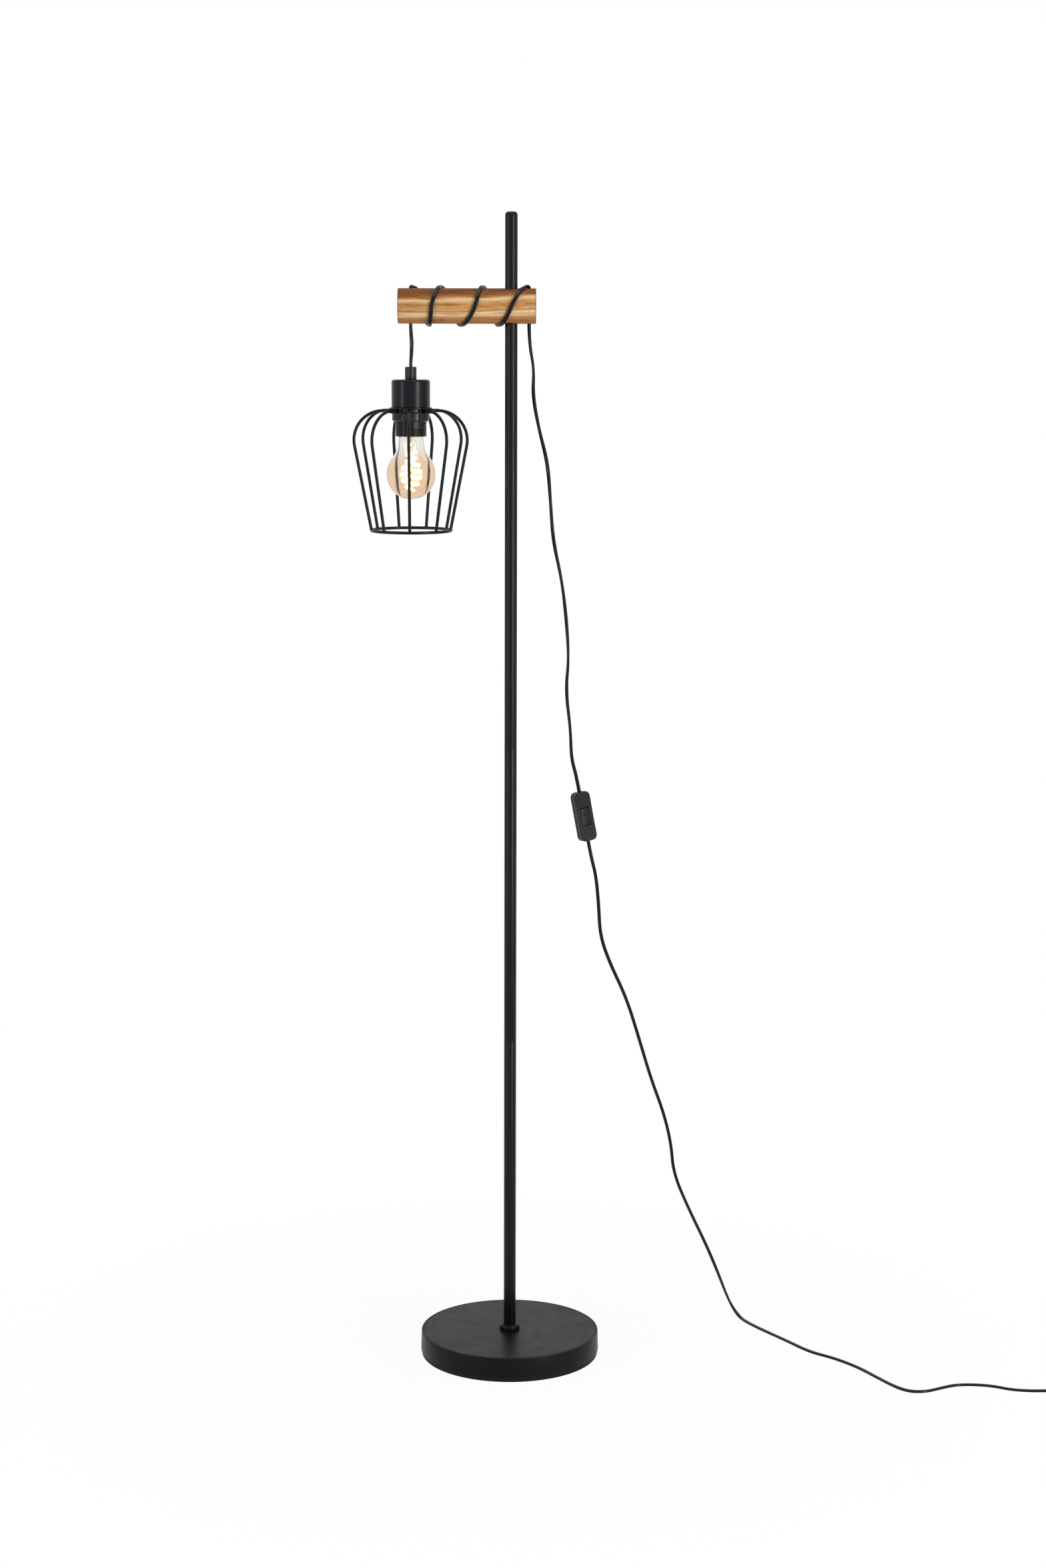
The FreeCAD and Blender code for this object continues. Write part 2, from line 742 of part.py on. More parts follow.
def wrap_knots():
    stations = wrap_points()
    top_of_bend = plain(s.beam_height) + wrap_radius - 6.0
    mouth = plain(beam_bottom)
    knots = [
        (Vector(wrap_west, 0, mouth), Vector(0, 0, 1)),
        (Vector(wrap_west, 0, top_of_bend), Vector(0, 0, 1)),
    ]
    for number, (angle, along) in enumerate(stations):
        before = stations[max(number - 1, 0)]
        after = stations[min(number + 1, len(stations) - 1)]
        slope = (after[1] - before[1]) / math.radians(after[0] - before[0])
        turn = math.radians(angle)
        way = Vector(slope, wrap_radius * math.cos(turn), -wrap_radius * math.sin(turn))
        knots.append((on_beam(angle, along), way.normalize()))
    knots.append((Vector(wrap_east, 0, top_of_bend), Vector(0, 0, -1)))
    knots.append((Vector(wrap_east, 0, mouth), Vector(0, 0, -1)))
    return knots


wrap_path = smooth_path(wrap_knots())
wrap_shape = tube_along(wrap_path, plain(s.flex_radius))
check_tube("flex_wraps", wrap_path, wrap_shape, plain(s.flex_radius))
self_gap("flex_wraps", wrap_path, plain(s.flex_radius), 40.0)
keep("flex_wraps", feature("flex_wraps", wrap_shape))

# ---------------------------------------------------------------- pendant

pendant_x = -s.pendant_reach
grip_top = beam_bottom - s.drop_length
cup_top = grip_top - s.grip_length
plate_top = cup_top - s.cup_height

drop = cylinder("flex_drop", s.flex_radius, s.drop_length, x=pendant_x, z=grip_top)
keep("flex_drop", drop)

nipple_bottom = cup_top - s.grip_nipple
grip_body = turned(
    "grip_body",
    [
        (s.grip_bore, nipple_bottom),
        (s.stud_radius - s.thread_gap, nipple_bottom),
        (s.stud_radius - s.thread_gap, cup_top),
        (s.grip_radius, cup_top),
        (s.grip_radius, grip_top),
        (s.grip_bore, grip_top),
    ],
    x=pendant_x,
)
soften(grip_body, s.grip_round, is_ring(s.grip_radius, grip_top))
screw_level = cup_top + s.grip_length / 3.0
pinch_hole = cylinder(
    "grip_screw_hole",
    s.grip_screw_radius + s.thread_gap,
    s.grip_radius,
    x=pendant_x,
    z=screw_level,
    along="Y",
)
keep("cord_grip", cut("cord_grip", grip_body, pinch_hole))
pinch_screw = cylinder(
    "grip_screw",
    s.grip_screw_radius,
    s.grip_radius - s.flex_radius - s.thread_gap,
    x=pendant_x,
    y=s.flex_radius,
    z=screw_level,
    along="Y",
)
keep("grip_screw", pinch_screw)

tail_bottom = nipple_bottom - 3.0
tail_length = grip_top - tail_bottom
tail_sheath = cylinder("tail_sheath", s.flex_radius, tail_length, x=pendant_x, z=tail_bottom)

cup = turned(
    "socket_cup",
    [
        (s.stud_radius, cup_top - s.cup_wall),
        (s.cup_radius - s.cup_wall, cup_top - s.cup_wall),
        (s.cup_radius - s.cup_wall, plate_top),
        (s.cup_radius, plate_top),
        (s.cup_radius, cup_top),
        (s.stud_radius, cup_top),
    ],
    x=pendant_x,
)
soften(cup, s.cup_round, is_ring(s.cup_radius, cup_top))
keep("socket_cup", cup)

holder_top = cup_top - s.cup_wall
holder_cap_radius = s.flange_radius
holder_cap = turned(
    "lampholder_cap",
    [
        (s.stud_radius, holder_top - s.cap_wall),
        (holder_cap_radius - s.cap_wall, holder_top - s.cap_wall - s.cup_round),
        (holder_cap_radius - s.cap_wall, plate_top + s.flange_thick),
        (holder_cap_radius, plate_top + s.flange_thick),
        (holder_cap_radius, holder_top - s.cup_round),
        (holder_cap_radius - s.cup_round, holder_top),
        (s.stud_radius, holder_top),
    ],
    x=pendant_x,
)
keep("lampholder_cap", holder_cap)


def holder_outline():
    """The lampholder's body: flange, threaded skirt with its turns as rings, and bore."""
    neck = holder_cap_radius - s.cap_wall - s.thread_gap
    bottom = plate_top - s.skirt_length
    points = [
        (s.skirt_bore, bottom),
        (s.skirt_radius - s.skirt_thread, bottom),
        (s.skirt_radius, bottom + s.skirt_thread),
    ]
    for turn in range(SKIRT_THREADS):
        crest = bottom + s.skirt_thread + s.skirt_pitch * (turn + 0.3)
        points.append((s.skirt_radius, crest))
        points.append((s.skirt_radius - s.skirt_thread, crest + s.skirt_pitch * 0.25))
        points.append((s.skirt_radius - s.skirt_thread, crest + s.skirt_pitch * 0.45))
        points.append((s.skirt_radius, crest + s.skirt_pitch * 0.7))
    points += [
        (s.skirt_radius, plate_top),
        (s.flange_radius, plate_top),
        (s.flange_radius, plate_top + s.flange_thick),
        (neck, plate_top + s.flange_thick),
        (neck, plate_top + s.body_rise),
        (s.skirt_bore, plate_top + s.body_rise),
        (s.skirt_bore, insert_bottom),
        (s.sleeve_bore, insert_bottom),
        (s.sleeve_bore, bottom + s.mouth_depth),
        (s.skirt_bore, bottom + s.mouth_depth),
    ]
    return points


insert_bottom = plate_top - s.insert_drop
keep("lampholder_body", turned("lampholder_body", holder_outline(), x=pendant_x))

insert_height = s.insert_drop + s.insert_rise
holder_insert = cylinder(
    "lampholder_insert",
    s.skirt_bore - s.thread_gap * 2.0,
    insert_height,
    x=pendant_x,
    z=insert_bottom,
)
keep("lampholder_insert", holder_insert)

shell_bottom = insert_bottom - s.shell_length
contact_shell = cut(
    "contact_shell",
    cylinder("shell_outside", s.shell_bore + s.shell_wall, s.shell_length, x=pendant_x, z=shell_bottom),
    cylinder("shell_inside", s.shell_bore, s.shell_length, x=pendant_x, z=shell_bottom),
)
keep("contact_shell", contact_shell)

bulb_neck = shell_bottom - 0.9
bulb_tip = (
    bulb_neck + s.bulb_cap_length + s.bulb_insulator_height + s.bulb_tip_height
)
spring_bottom = bulb_tip + s.contact_play
centre_contact = cylinder(
    "centre_contact", s.contact_radius, insert_bottom - spring_bottom, x=pendant_x, z=spring_bottom
)
keep("centre_contact", centre_contact)

insert_top = insert_bottom + insert_height
terminals = []
cores = []
for side in (-1.0, 1.0):
    label = "west" if side < 0 else "east"
    terminal_x = pendant_x + s.terminal_reach * side
    terminals.append(
        cylinder(
            "terminal_" + label, s.terminal_radius, s.terminal_height, x=terminal_x, z=insert_top
        )
    )
    core_top = Vector(plain(pendant_x) + side * 1.1, 0, plain(tail_bottom))
    core_end = Vector(plain(terminal_x), 0, plain(insert_top + s.terminal_height))
    core_points = [
        core_top,
        core_top - Vector(0, 0, 5.0),
        core_end + Vector(0, 0, 6.0),
        core_end,
    ]
    core_path = rounded_route(core_points)
    cores.append(feature("core_" + label, tube_along(core_path, plain(s.core_radius))))
keep("terminal_screws", group("terminal_screws", *terminals))
keep("flex_tail", group("flex_tail", tail_sheath, *cores))

# ---------------------------------------------------------------- cage


def cage_plate(name, top):
    bottom = top - s.plate_thick
    disc = cylinder(name + "_disc", s.plate_radius, s.plate_thick, x=pendant_x, z=bottom)
    hole = cylinder(
        name + "_hole", s.skirt_radius + s.plate_play, s.plate_thick, x=pendant_x, z=bottom
    )
    keep(name, cut(name, disc, hole))
    return bottom


wire_level = cage_plate("cage_plate_upper", plate_top) - s.wire_radius
ring_top = cage_plate("cage_plate_lower", wire_level - s.wire_radius)
mouth_level = wire_level - s.cage_depth


def cage_wire(number, angle):
    """One wire: out from between the plates, round the shoulder and straight to the mouth."""
    level = plain(wire_level)
    start = plain(s.shoulder_start)
    bend = plain(s.shoulder_bend)
    foot = Vector(plain(s.cage_mouth), 0, plain(mouth_level))
    centre = Vector(start, 0, level - bend)
    reach = foot - centre
    slant = math.atan2(-reach.z, reach.x) - math.acos(bend / reach.Length)
    leaving = centre + Vector(bend * math.cos(slant), 0, -bend * math.sin(slant))
    middle = (math.pi / 2.0 - slant) / 2.0
    halfway = centre + Vector(bend * math.cos(middle), 0, bend * math.sin(middle))
    shoulder = Vector(start, 0, level)
    top = Part.LineSegment(Vector(plain(s.wire_start), 0, level), shoulder).toShape()
    arc = Part.Arc(shoulder, halfway, leaving).toShape()
    leg_way = (foot - leaving).normalize()
    end = foot - leg_way * plain(s.wire_radius * 0.8)
    leg = Part.LineSegment(leaving, end).toShape()
    path = Part.Wire([top, arc, leg])
    name = "cage_wire_%d" % number
    wire = feature(name, tube_along(path, plain(s.wire_radius)))
    turn = Rotation(Vector(0, 0, 1), angle)
    wire.Placement = Placement(Vector(plain(pendant_x), 0, 0), turn)
    keep(name, wire)


for number in range(CAGE_WIRES):
    cage_wire(number + 1, FRONT_WIRE_ANGLE + number * 360.0 / CAGE_WIRES)

mouth_ring = document.addObject("Part::Torus", "cage_bottom_ring")
bind(mouth_ring, "Radius1", s.cage_mouth)
bind(mouth_ring, "Radius2", s.wire_radius)
place(mouth_ring, x=pendant_x, z=mouth_level)
keep("cage_bottom_ring", mouth_ring)

ring_bottom = ring_top - s.ring_height
ring_bore = s.skirt_radius + s.collar_gap
shade_ring_body = turned(
    "shade_ring_body",
    [
        (ring_bore, ring_bottom),
        (s.ring_radius - s.ring_chamfer, ring_bottom),
        (s.ring_radius, ring_bottom + s.ring_chamfer),
        (s.ring_radius, ring_top),
        (ring_bore, ring_top),
    ],
    x=pendant_x,
)
notches = []
for number in range(RING_NOTCHES):
    notch = box(
        "notch_%d" % (number + 1),
        s.notch_depth * 2.0,
        s.notch_width,
        s.ring_height - s.ring_chamfer,
        x=s.ring_radius,
        z=ring_bottom,
    )
    spoke = document.addObject("Part::Compound", "notch_place_%d" % (number + 1))
    spoke.Links = [notch]
    turn = Rotation(Vector(0, 0, 1), 22.0 + number * 360.0 / RING_NOTCHES)
    spoke.Placement = Placement(Vector(), turn)
    place(spoke, x=pendant_x)
    notches.append(spoke)
keep("shade_ring", cut("shade_ring", shade_ring_body, *notches))

# ---------------------------------------------------------------- bulb

bulb_middle = plate_top - s.bulb_middle
SHOULDER_TURN = 40.0
NECK_TURN = 6.0
GLASS_LIP = 0.3


def bulb_profile(inset):
    """The glass from its lowest point up to the screw cap, as edges, set in by inset."""
    radius = plain(s.bulb_radius) - inset
    shoulder = plain(s.bulb_shoulder) - inset
    waist = plain(s.bulb_waist) + inset
    middle = plain(bulb_middle)
    wide = Vector(radius, 0, middle)
    low = Vector(0, 0, middle - radius)
    diagonal = radius * math.sqrt(0.5)
    bowl = Part.Arc(low, Vector(diagonal, 0, middle - diagonal), wide).toShape()
    centre = Vector(radius - shoulder, 0, middle)

    def on_shoulder(angle):
        turn = math.radians(angle)
        return centre + Vector(shoulder * math.cos(turn), 0, shoulder * math.sin(turn))

    top = on_shoulder(SHOULDER_TURN)
    upper = Part.Arc(wide, on_shoulder(SHOULDER_TURN / 2.0), top).toShape()
    outward = (top - centre).normalize()
    hollow_centre = top + outward * waist

    def on_waist(angle):
        turn = math.radians(angle)
        return hollow_centre - Vector(waist * math.cos(turn), 0, waist * math.sin(turn))

    neck = on_waist(NECK_TURN)
    mid_waist = on_waist((SHOULDER_TURN + NECK_TURN) / 2.0)
    lower = Part.Arc(top, mid_waist, neck).toShape()
    neck_top = plain(bulb_neck) - 3.0
    slope = math.tan(math.radians(NECK_TURN))
    neck_end = Vector(neck.x - slope * (neck_top - neck.z), 0, neck_top)
    straight = Part.LineSegment(neck, neck_end).toShape()
    mouth = Vector(plain(s.bulb_cap_crest) - GLASS_LIP - inset, 0, plain(bulb_neck))
    rim = Part.LineSegment(neck_end, mouth).toShape()
    return [bowl, upper, lower, straight, rim], low, mouth


outer, outer_low, outer_mouth = bulb_profile(0.0)
inner, inner_low, inner_mouth = bulb_profile(plain(s.bulb_wall))
closing = [
    Part.LineSegment(outer_low, inner_low).toShape(),
    Part.LineSegment(outer_mouth, inner_mouth).toShape(),
]
glass_face = Part.Face(Part.Wire(Part.sortEdges(outer + inner + closing)[0]))
glass_shape = glass_face.revolve(Vector(), Vector(0, 0, 1), 360)
glass = feature("bulb_glass", glass_shape)
glass.Placement = Placement(Vector(plain(pendant_x), 0, 0), Rotation())
keep("bulb_glass", glass)


def screw_cap_outline():
    """The bulb's cap: a thin sleeve whose thread is drawn as rings."""
    inside = s.bulb_cap_root - s.bulb_cap_wall
    top = bulb_neck + s.bulb_cap_length
    points = [(inside, top), (inside, bulb_neck), (s.bulb_cap_crest, bulb_neck)]
    for turn in range(BULB_THREADS):
        crest = bulb_neck + s.bulb_cap_pitch * (turn + 0.3)
        points.append((s.bulb_cap_crest, crest))
        points.append((s.bulb_cap_root, crest + s.bulb_cap_pitch * 0.4))
        points.append((s.bulb_cap_root, crest + s.bulb_cap_pitch * 0.6))
    points.append((s.bulb_cap_crest, bulb_neck + s.bulb_cap_pitch * (BULB_THREADS + 0.3)))
    points.append((s.bulb_cap_root, top))
    return points


keep("bulb_cap", turned("bulb_cap", screw_cap_outline(), x=pendant_x))
cap_end = bulb_neck + s.bulb_cap_length
tip_bottom = cap_end + s.bulb_insulator_height
insulator = turned(
    "bulb_insulator",
    [
        (ZERO, cap_end),
        (s.bulb_cap_root, cap_end),
        (s.bulb_tip_radius, tip_bottom),
        (ZERO, tip_bottom),
    ],
    x=pendant_x,
)
keep("bulb_insulator", insulator)
tip = turned(
    "bulb_contact",
    [
        (ZERO, tip_bottom),
        (s.bulb_tip_radius, tip_bottom),
        (s.bulb_tip_radius / 2.0, bulb_tip),
        (ZERO, bulb_tip),
    ],
    x=pendant_x,
)
keep("bulb_contact", tip)

filament_top = bulb_middle + s.filament_length * 0.63
filament_bottom = filament_top - s.filament_length
flare_top = bulb_neck
flare_radius = s.bulb_cap_crest - GLASS_LIP - s.bulb_wall
stem_end = filament_bottom - 2.0
stem = turned(
    "bulb_stem",
    [
        (ZERO, flare_top),
        (flare_radius, flare_top),
        (s.stem_radius * 1.6, flare_top - 9.0),
        (s.stem_radius, filament_top + 2.0),
        (s.stem_radius * 0.6, stem_end + 1.0),
        (s.stem_radius, stem_end),
        (ZERO, stem_end),
    ],
    x=pendant_x,
)
keep("bulb_stem", stem)

FILAMENT_WIDTHS = [0.58, 0.66, 0.80, 0.94, 1.0, 0.98, 0.90, 0.76, 0.56, 0.34]


def filament_reach(share):
    """The spiral's radius at a share of its way down: narrow, wide, then to a point."""
    last = len(FILAMENT_WIDTHS) - 1
    cell = min(int(share * last), last - 1)
    rest = share * last - cell
    width = FILAMENT_WIDTHS[cell] * (1.0 - rest) + FILAMENT_WIDTHS[cell + 1] * rest
    return plain(s.filament_widest) * width


def filament_point(share):
    turn = 2.0 * math.pi * FILAMENT_TURNS * share
    reach = filament_reach(share)
    level = plain(filament_top) - plain(s.filament_length) * share
    return Vector(plain(pendant_x) + reach * math.cos(turn), reach * math.sin(turn), level)


filament_knots = []
for quarter in range(4 * FILAMENT_TURNS + 1):
    share = quarter / (4.0 * FILAMENT_TURNS)
    step = 0.01 / FILAMENT_TURNS
    before = filament_point(max(share - step, 0.0))
    after = filament_point(min(share + step, 1.0))
    filament_knots.append((filament_point(share), (after - before).normalize()))
filament_path = smooth_path(filament_knots)
filament_shape = tube_along(filament_path, plain(s.filament_radius))
check_tube("bulb_filament", filament_path, filament_shape, plain(s.filament_radius))
self_gap("bulb_filament", filament_path, plain(s.filament_radius), 12.0)
keep("bulb_filament", feature("bulb_filament", filament_shape))

# Two bare wires hold the spiral: one from the flare to its top, one from its foot to the stem.
LEAD_WIRE_RADIUS = 0.4
hold_top = filament_point(0.0)
hold_foot = filament_point(1.0)
flare_low = Vector(plain(pendant_x) + 6.0, 0, plain(flare_top) - 6.0)
stem_side = Vector(plain(pendant_x) + plain(s.stem_radius), 0, hold_foot.z)
leads = []
for label, start, end in (("top", hold_top, flare_low), ("foot", stem_side, hold_foot)):
    wire = Part.Wire([Part.LineSegment(start, end).toShape()])
    leads.append(feature("lead_wire_" + label, tube_along(wire, LEAD_WIRE_RADIUS)))
keep("bulb_lead_wires", group("bulb_lead_wires", *leads))

# ---------------------------------------------------------------- in-line switch
# Its pieces are made with the flex along Z and the face towards -Y, then leaned and turned.

switch_middle = Vector(plain(s.switch_east), plain(s.switch_back), plain(s.switch_up))
switch_lean = Rotation(Vector(0, 1, 0), SWITCH_LEAN)
switch_turn = Rotation(Vector(0, 0, 1), SWITCH_TURN)
switch_place = Placement(switch_middle, switch_lean.multiply(switch_turn))
switch_way = switch_lean.multVec(Vector(0, 0, 1))


def on_switch(name, item):
    item.Placement = switch_place
    return keep(name, item)


half_length = s.switch_length / 2.0
half_depth = s.switch_depth / 2.0


def switch_block(name, inset):
    """The outside of the switch, or its inside where inset is its wall."""
    block = box(
        name,
        s.switch_width - inset * 2.0,
        s.switch_depth - inset * 2.0,
        s.switch_length - inset * 2.0,
        z=ZERO - half_length + inset,
    )
    corner = s.switch_corner - inset
    rounder = rounded(
        name + "_corners",
        block,
        corner,
        lambda edge: abs(edge.tangentAt(edge.FirstParameter).y) > 0.99,
    )
    return rounder


def on_outer_faces(edge):
    """True for the edges round the front and the back of the switch's block."""
    level = edge.CenterOfMass.y
    flat = edge.BoundBox.YLength < 0.01
    return flat and abs(abs(level) - plain(half_depth)) < 0.01


dip_radius = (half_length * half_length + s.switch_dip * s.switch_dip) / (s.switch_dip * 2.0)
outside = switch_block("switch_outside", ZERO)
outside = rounded("switch_soft", outside, s.switch_edge, on_outer_faces)
inside = switch_block("switch_inside", s.switch_wall)
dip = cylinder(
    "switch_dip_cut",
    dip_radius,
    s.switch_width,
    x=-s.switch_width / 2.0,
    y=-half_depth + s.switch_dip - dip_radius,
    along="X",
)
inner_dip = cylinder(
    "switch_inner_dip",
    dip_radius,
    s.switch_width,
    x=-s.switch_width / 2.0,
    y=-half_depth + s.switch_dip + s.switch_wall - dip_radius,
    along="X",
)
hollowed = cut("switch_hollowed", outside, dip)
cavity = cut("switch_cavity", inside, inner_dip)
back_half = box(
    "switch_back_half",
    s.switch_width,
    s.switch_depth,
    s.switch_length,
    y=s.switch_split + half_depth,
    z=-half_length,
)
front_half = box(
    "switch_front_half",
    s.switch_width,
    s.switch_depth,
    s.switch_length,
    y=s.switch_split - half_depth,
    z=-half_length,
)


def common(name, one, other):
    item = document.addObject("Part::Common", name)
    item.Base = one
    item.Tool = other
    return item


shell_all = cut("switch_shell", hollowed, cavity)
back_shell = common("switch_back_plain", shell_all, back_half)
front_shell = common("switch_front_plain", shell_all, front_half)

SCREW_PLACES = [(7.0, 23.0), (-7.0, -23.0)]
SCREW_RADIUS = 1.3
BOSS_RADIUS = 2.8
COVER_BOSS = 6.2
back_face = half_depth
split = s.switch_split
boss_reach = back_face - s.switch_wall - split
back_bosses = []
screw_holes = []
cover_bosses = []
cover_holes = []
switch_screws = []
for number, (screw_x, screw_z) in enumerate(SCREW_PLACES, start=1):
    label = "_%d" % number
    back_bosses.append(
        cylinder("back_boss" + label, BOSS_RADIUS, boss_reach, x=screw_x, y=split, z=screw_z, along="Y")
    )
    screw_holes.append(
        cylinder("back_hole" + label, SCREW_RADIUS + 0.2, back_face, x=screw_x, y=split, z=screw_z, along="Y")
    )
    cover_bosses.append(
        cylinder(
            "cover_boss" + label, BOSS_RADIUS, COVER_BOSS, x=screw_x, y=split - COVER_BOSS, z=screw_z, along="Y"
        )
    )
    cover_holes.append(
        cylinder("cover_hole" + label, SCREW_RADIUS + 0.05, 4.0, x=screw_x, y=split - 4.0, z=screw_z, along="Y")
    )
    shank = cylinder(
        "screw_shank" + label, SCREW_RADIUS, back_face - split + 3.0, x=screw_x, y=split - 3.0, z=screw_z, along="Y"
    )
    head = cylinder(
        "screw_head" + label, BOSS_RADIUS - 0.3, 1.2, x=screw_x, y=back_face, z=screw_z, along="Y"
    )
    switch_screws.append(fuse("switch_screw" + label, shank, head))
switch_base = cut("switch_base", fuse("switch_base_solid", back_shell, *back_bosses), *screw_holes)
on_switch("switch_base", switch_base)
on_switch("switch_screws", group("switch_screws", *switch_screws))

window_width = s.rocker_width + s.rocker_play * 2.0
window_length = (s.rocker_reach + s.rocker_play) * 2.0
window = box(
    "switch_window",
    window_width,
    s.switch_depth,
    window_length,
    y=-s.rocker_depth - half_depth,
    z=-window_length / 2.0,
)
CHEEK = 2.0
pin_half = s.rocker_width / 2.0 + CHEEK * 0.75
cheeks = []
for side in (-1.0, 1.0):
    cheeks.append(
        box(
            "cheek_west" if side < 0 else "cheek_east",
            CHEEK,
            4.6,
            6.0,
            x=(s.rocker_width / 2.0 + s.rocker_play + CHEEK / 2.0) * side,
            y=-s.rocker_depth + 0.1,
            z=-3.0,
        )
    )
pin_hole = cylinder(
    "cheek_pin_hole",
    s.rocker_pin + s.rocker_pin_play,
    (pin_half + 0.2) * 2.0,
    x=-pin_half - 0.2,
    y=-s.rocker_depth,
    along="X",
)
switch_cover = cut(
    "switch_cover",
    fuse("switch_cover_solid", front_shell, *cover_bosses, *cheeks),
    window,
    pin_hole,
    *cover_holes,
)
on_switch("switch_cover", switch_cover)


def rocker_outline():
    """The rocker from the side: two faces that meet in a blunt ridge, one end pressed in."""
    reach = plain(s.rocker_reach)
    pin_y = -plain(s.rocker_depth)
    ridge = Vector(0, pin_y - 3.1, 0)

    def at(angle):
        turn = math.radians(angle)
        return Vector(0, pin_y - reach * math.sin(turn), reach * math.cos(turn))

    raised = at(27.0)
    raised_low = at(3.0)
    pressed = at(180.0 - 14.5)
    pressed_low = at(180.0 - 4.0)
    foot_high = Vector(0, pin_y + 1.6, 2.6)
    foot_low = Vector(0, pin_y + 1.6, -2.6)
    return [raised, raised_low, foot_high, foot_low, pressed_low, pressed, ridge]


corners = rocker_outline()
rocker_face = Part.Face(Part.makePolygon(corners + corners[:1]))
half_rocker = plain(s.rocker_width) / 2.0
rocker_solid = rocker_face.extrude(Vector(plain(s.rocker_width), 0, 0))
rocker_solid.translate(Vector(-half_rocker, 0, 0))
rocker_body = feature("rocker_body", rocker_solid)
rocker_pin = cylinder(
    "rocker_pin_rod", s.rocker_pin, pin_half * 2.0, x=-pin_half, y=-s.rocker_depth, along="X"
)
on_switch("switch_rocker", fuse("switch_rocker", rocker_body, rocker_pin))

contacts = []
for label, level in (("upper", 15.5), ("lower", -21.5)):
    contacts.append(box("contact_" + label, 8.0, 4.0, 6.0, y=back_face - s.switch_wall - 2.0, z=level))
on_switch("switch_contacts", group("switch_contacts", *contacts))

# ---------------------------------------------------------------- the lead
# Hand-made routes. The upper stretch hangs from the beam to the switch, the lower one from
# the switch to the floor and on to the coil.

flex_width = 5.2
switch_reach = switch_way * plain(half_length)
switch_upper_end = switch_middle + switch_reach
switch_lower_end = switch_middle - switch_reach
lead_start = Vector(wrap_east, 0, plain(beam_bottom))
floor_z = plain(s.floor_level)

UPPER_ROUTE = [
    (22.6, 0.0, 1331.0),
    (29.0, 4.0, 1300.0),
    (27.4, 9.0, 1266.0),
    (35.8, 13.0, 1222.0),
    (47.0, 17.0, 1180.0),
    (50.8, 23.0, 1128.0),
    (54.2, 28.0, 1080.0),
    (65.6, 33.0, 1030.0),
    (72.0, 38.0, 978.0),
    (75.4, 42.0, 926.0),
    (71.6, 46.0, 884.0),
    (78.2, 51.0, 832.0),
    (79.4, 56.0, 793.0),
]
LOWER_ROUTE = [
    (113.2, 64.0, 634.0),
    (117.0, 68.0, 594.0),
    (119.2, 72.5, 552.0),
    (132.4, 77.0, 514.0),
    (155.5, 85.0, 464.0),
    (173.5, 94.0, 405.0),
    (189.8, 104.0, 349.0),
    (208.6, 114.0, 297.0),
    (219.3, 122.0, 252.0),
    (223.2, 129.0, 208.0),
    (246.6, 139.0, 152.0),
    (269.8, 145.5, 103.0),
    (286.0, 148.0, 64.0),
    (297.5, 147.0, 34.0),
    (306.0, 144.0, 15.6),
]
FLOOR_ROUTE = [
    (316.5, 131.0),
    (327.0, 108.0),
    (345.0, 79.0),
    (374.0, 36.0),
    (400.0, -6.0),
    (430.0, -30.0),
    (458.0, -64.0),
    (480.0, -105.0),
    (499.0, -138.0),
    (514.5, -153.5),
    (535.0, -153.5),
    (553.5, -142.0),
    (575.0, -129.5),
    (598.0, -127.5),
    (624.0, -132.0),
    (646.0, -146.0),
    (672.0, -150.6),
    (700.0, -149.4),
    (726.0, -150.0),
]

coil_south = -150.0
straight_end = flex_width
upper_lead_points = [lead_start] + [Vector(*point) for point in UPPER_ROUTE]
upper_lead_points += [switch_upper_end + switch_way * 22.0, switch_upper_end]
flex_along("lead_upper", upper_lead_points, 3.0 * flex_width)

coil_x = plain(s.coil_east)
coil_start = Vector(coil_x - straight_end, coil_south, floor_z)
lower_lead_points = [switch_lower_end, switch_lower_end - switch_way * 22.0]
lower_lead_points += [Vector(*point) for point in LOWER_ROUTE]
lower_lead_points += [Vector(x, y, floor_z) for x, y in FLOOR_ROUTE] + [coil_start]
flex_along("lead_lower", lower_lead_points, 3.0 * flex_width)

# The put-away length: turns that spiral in, climb a layer and spiral out again.
COIL_QUARTERS = 13
TURNING_QUARTER = 6
coil_pitch = plain(s.coil_pitch)
coil_inner = plain(s.coil_inner)


def coil_radius(quarter):
    return coil_inner + coil_pitch * abs(quarter - TURNING_QUARTER) / 4.0


coil_centre = Vector(coil_x, coil_south + coil_radius(0), floor_z)


def coil_point(quarter):
    turn = math.radians(90.0 * quarter - 90.0)
    climb = min(max((quarter - TURNING_QUARTER + 1) / 2.0, 0.0), 1.0)
    reach = coil_radius(quarter)
    level = plain(s.coil_layer) * climb
    return coil_centre + Vector(reach * math.cos(turn), reach * math.sin(turn), level)


coil_knots = [(coil_start, Vector(1, 0, 0)), (coil_point(0), Vector(1, 0, 0))]
for quarter in range(1, COIL_QUARTERS):
    way = coil_point(quarter + 0.02) - coil_point(quarter - 0.02)
    if abs(quarter - TURNING_QUARTER) == 1:
        way.z = 0.0
    coil_knots.append((coil_point(quarter), way.normalize()))
coil_end = coil_point(COIL_QUARTERS)
coil_knots.append((coil_end, Vector(0, 1, 0)))
plug_start = coil_end + Vector(0, straight_end, 0)
coil_knots.append((plug_start, Vector(0, 1, 0)))
coil_path = smooth_path(coil_knots)
coil_shape = tube_along(coil_path, plain(s.flex_radius))
check_tube("lead_coil", coil_path, coil_shape, plain(s.flex_radius))
self_gap("lead_coil", coil_path, plain(s.flex_radius), 60.0)
keep("lead_coil", feature("lead_coil", coil_shape))

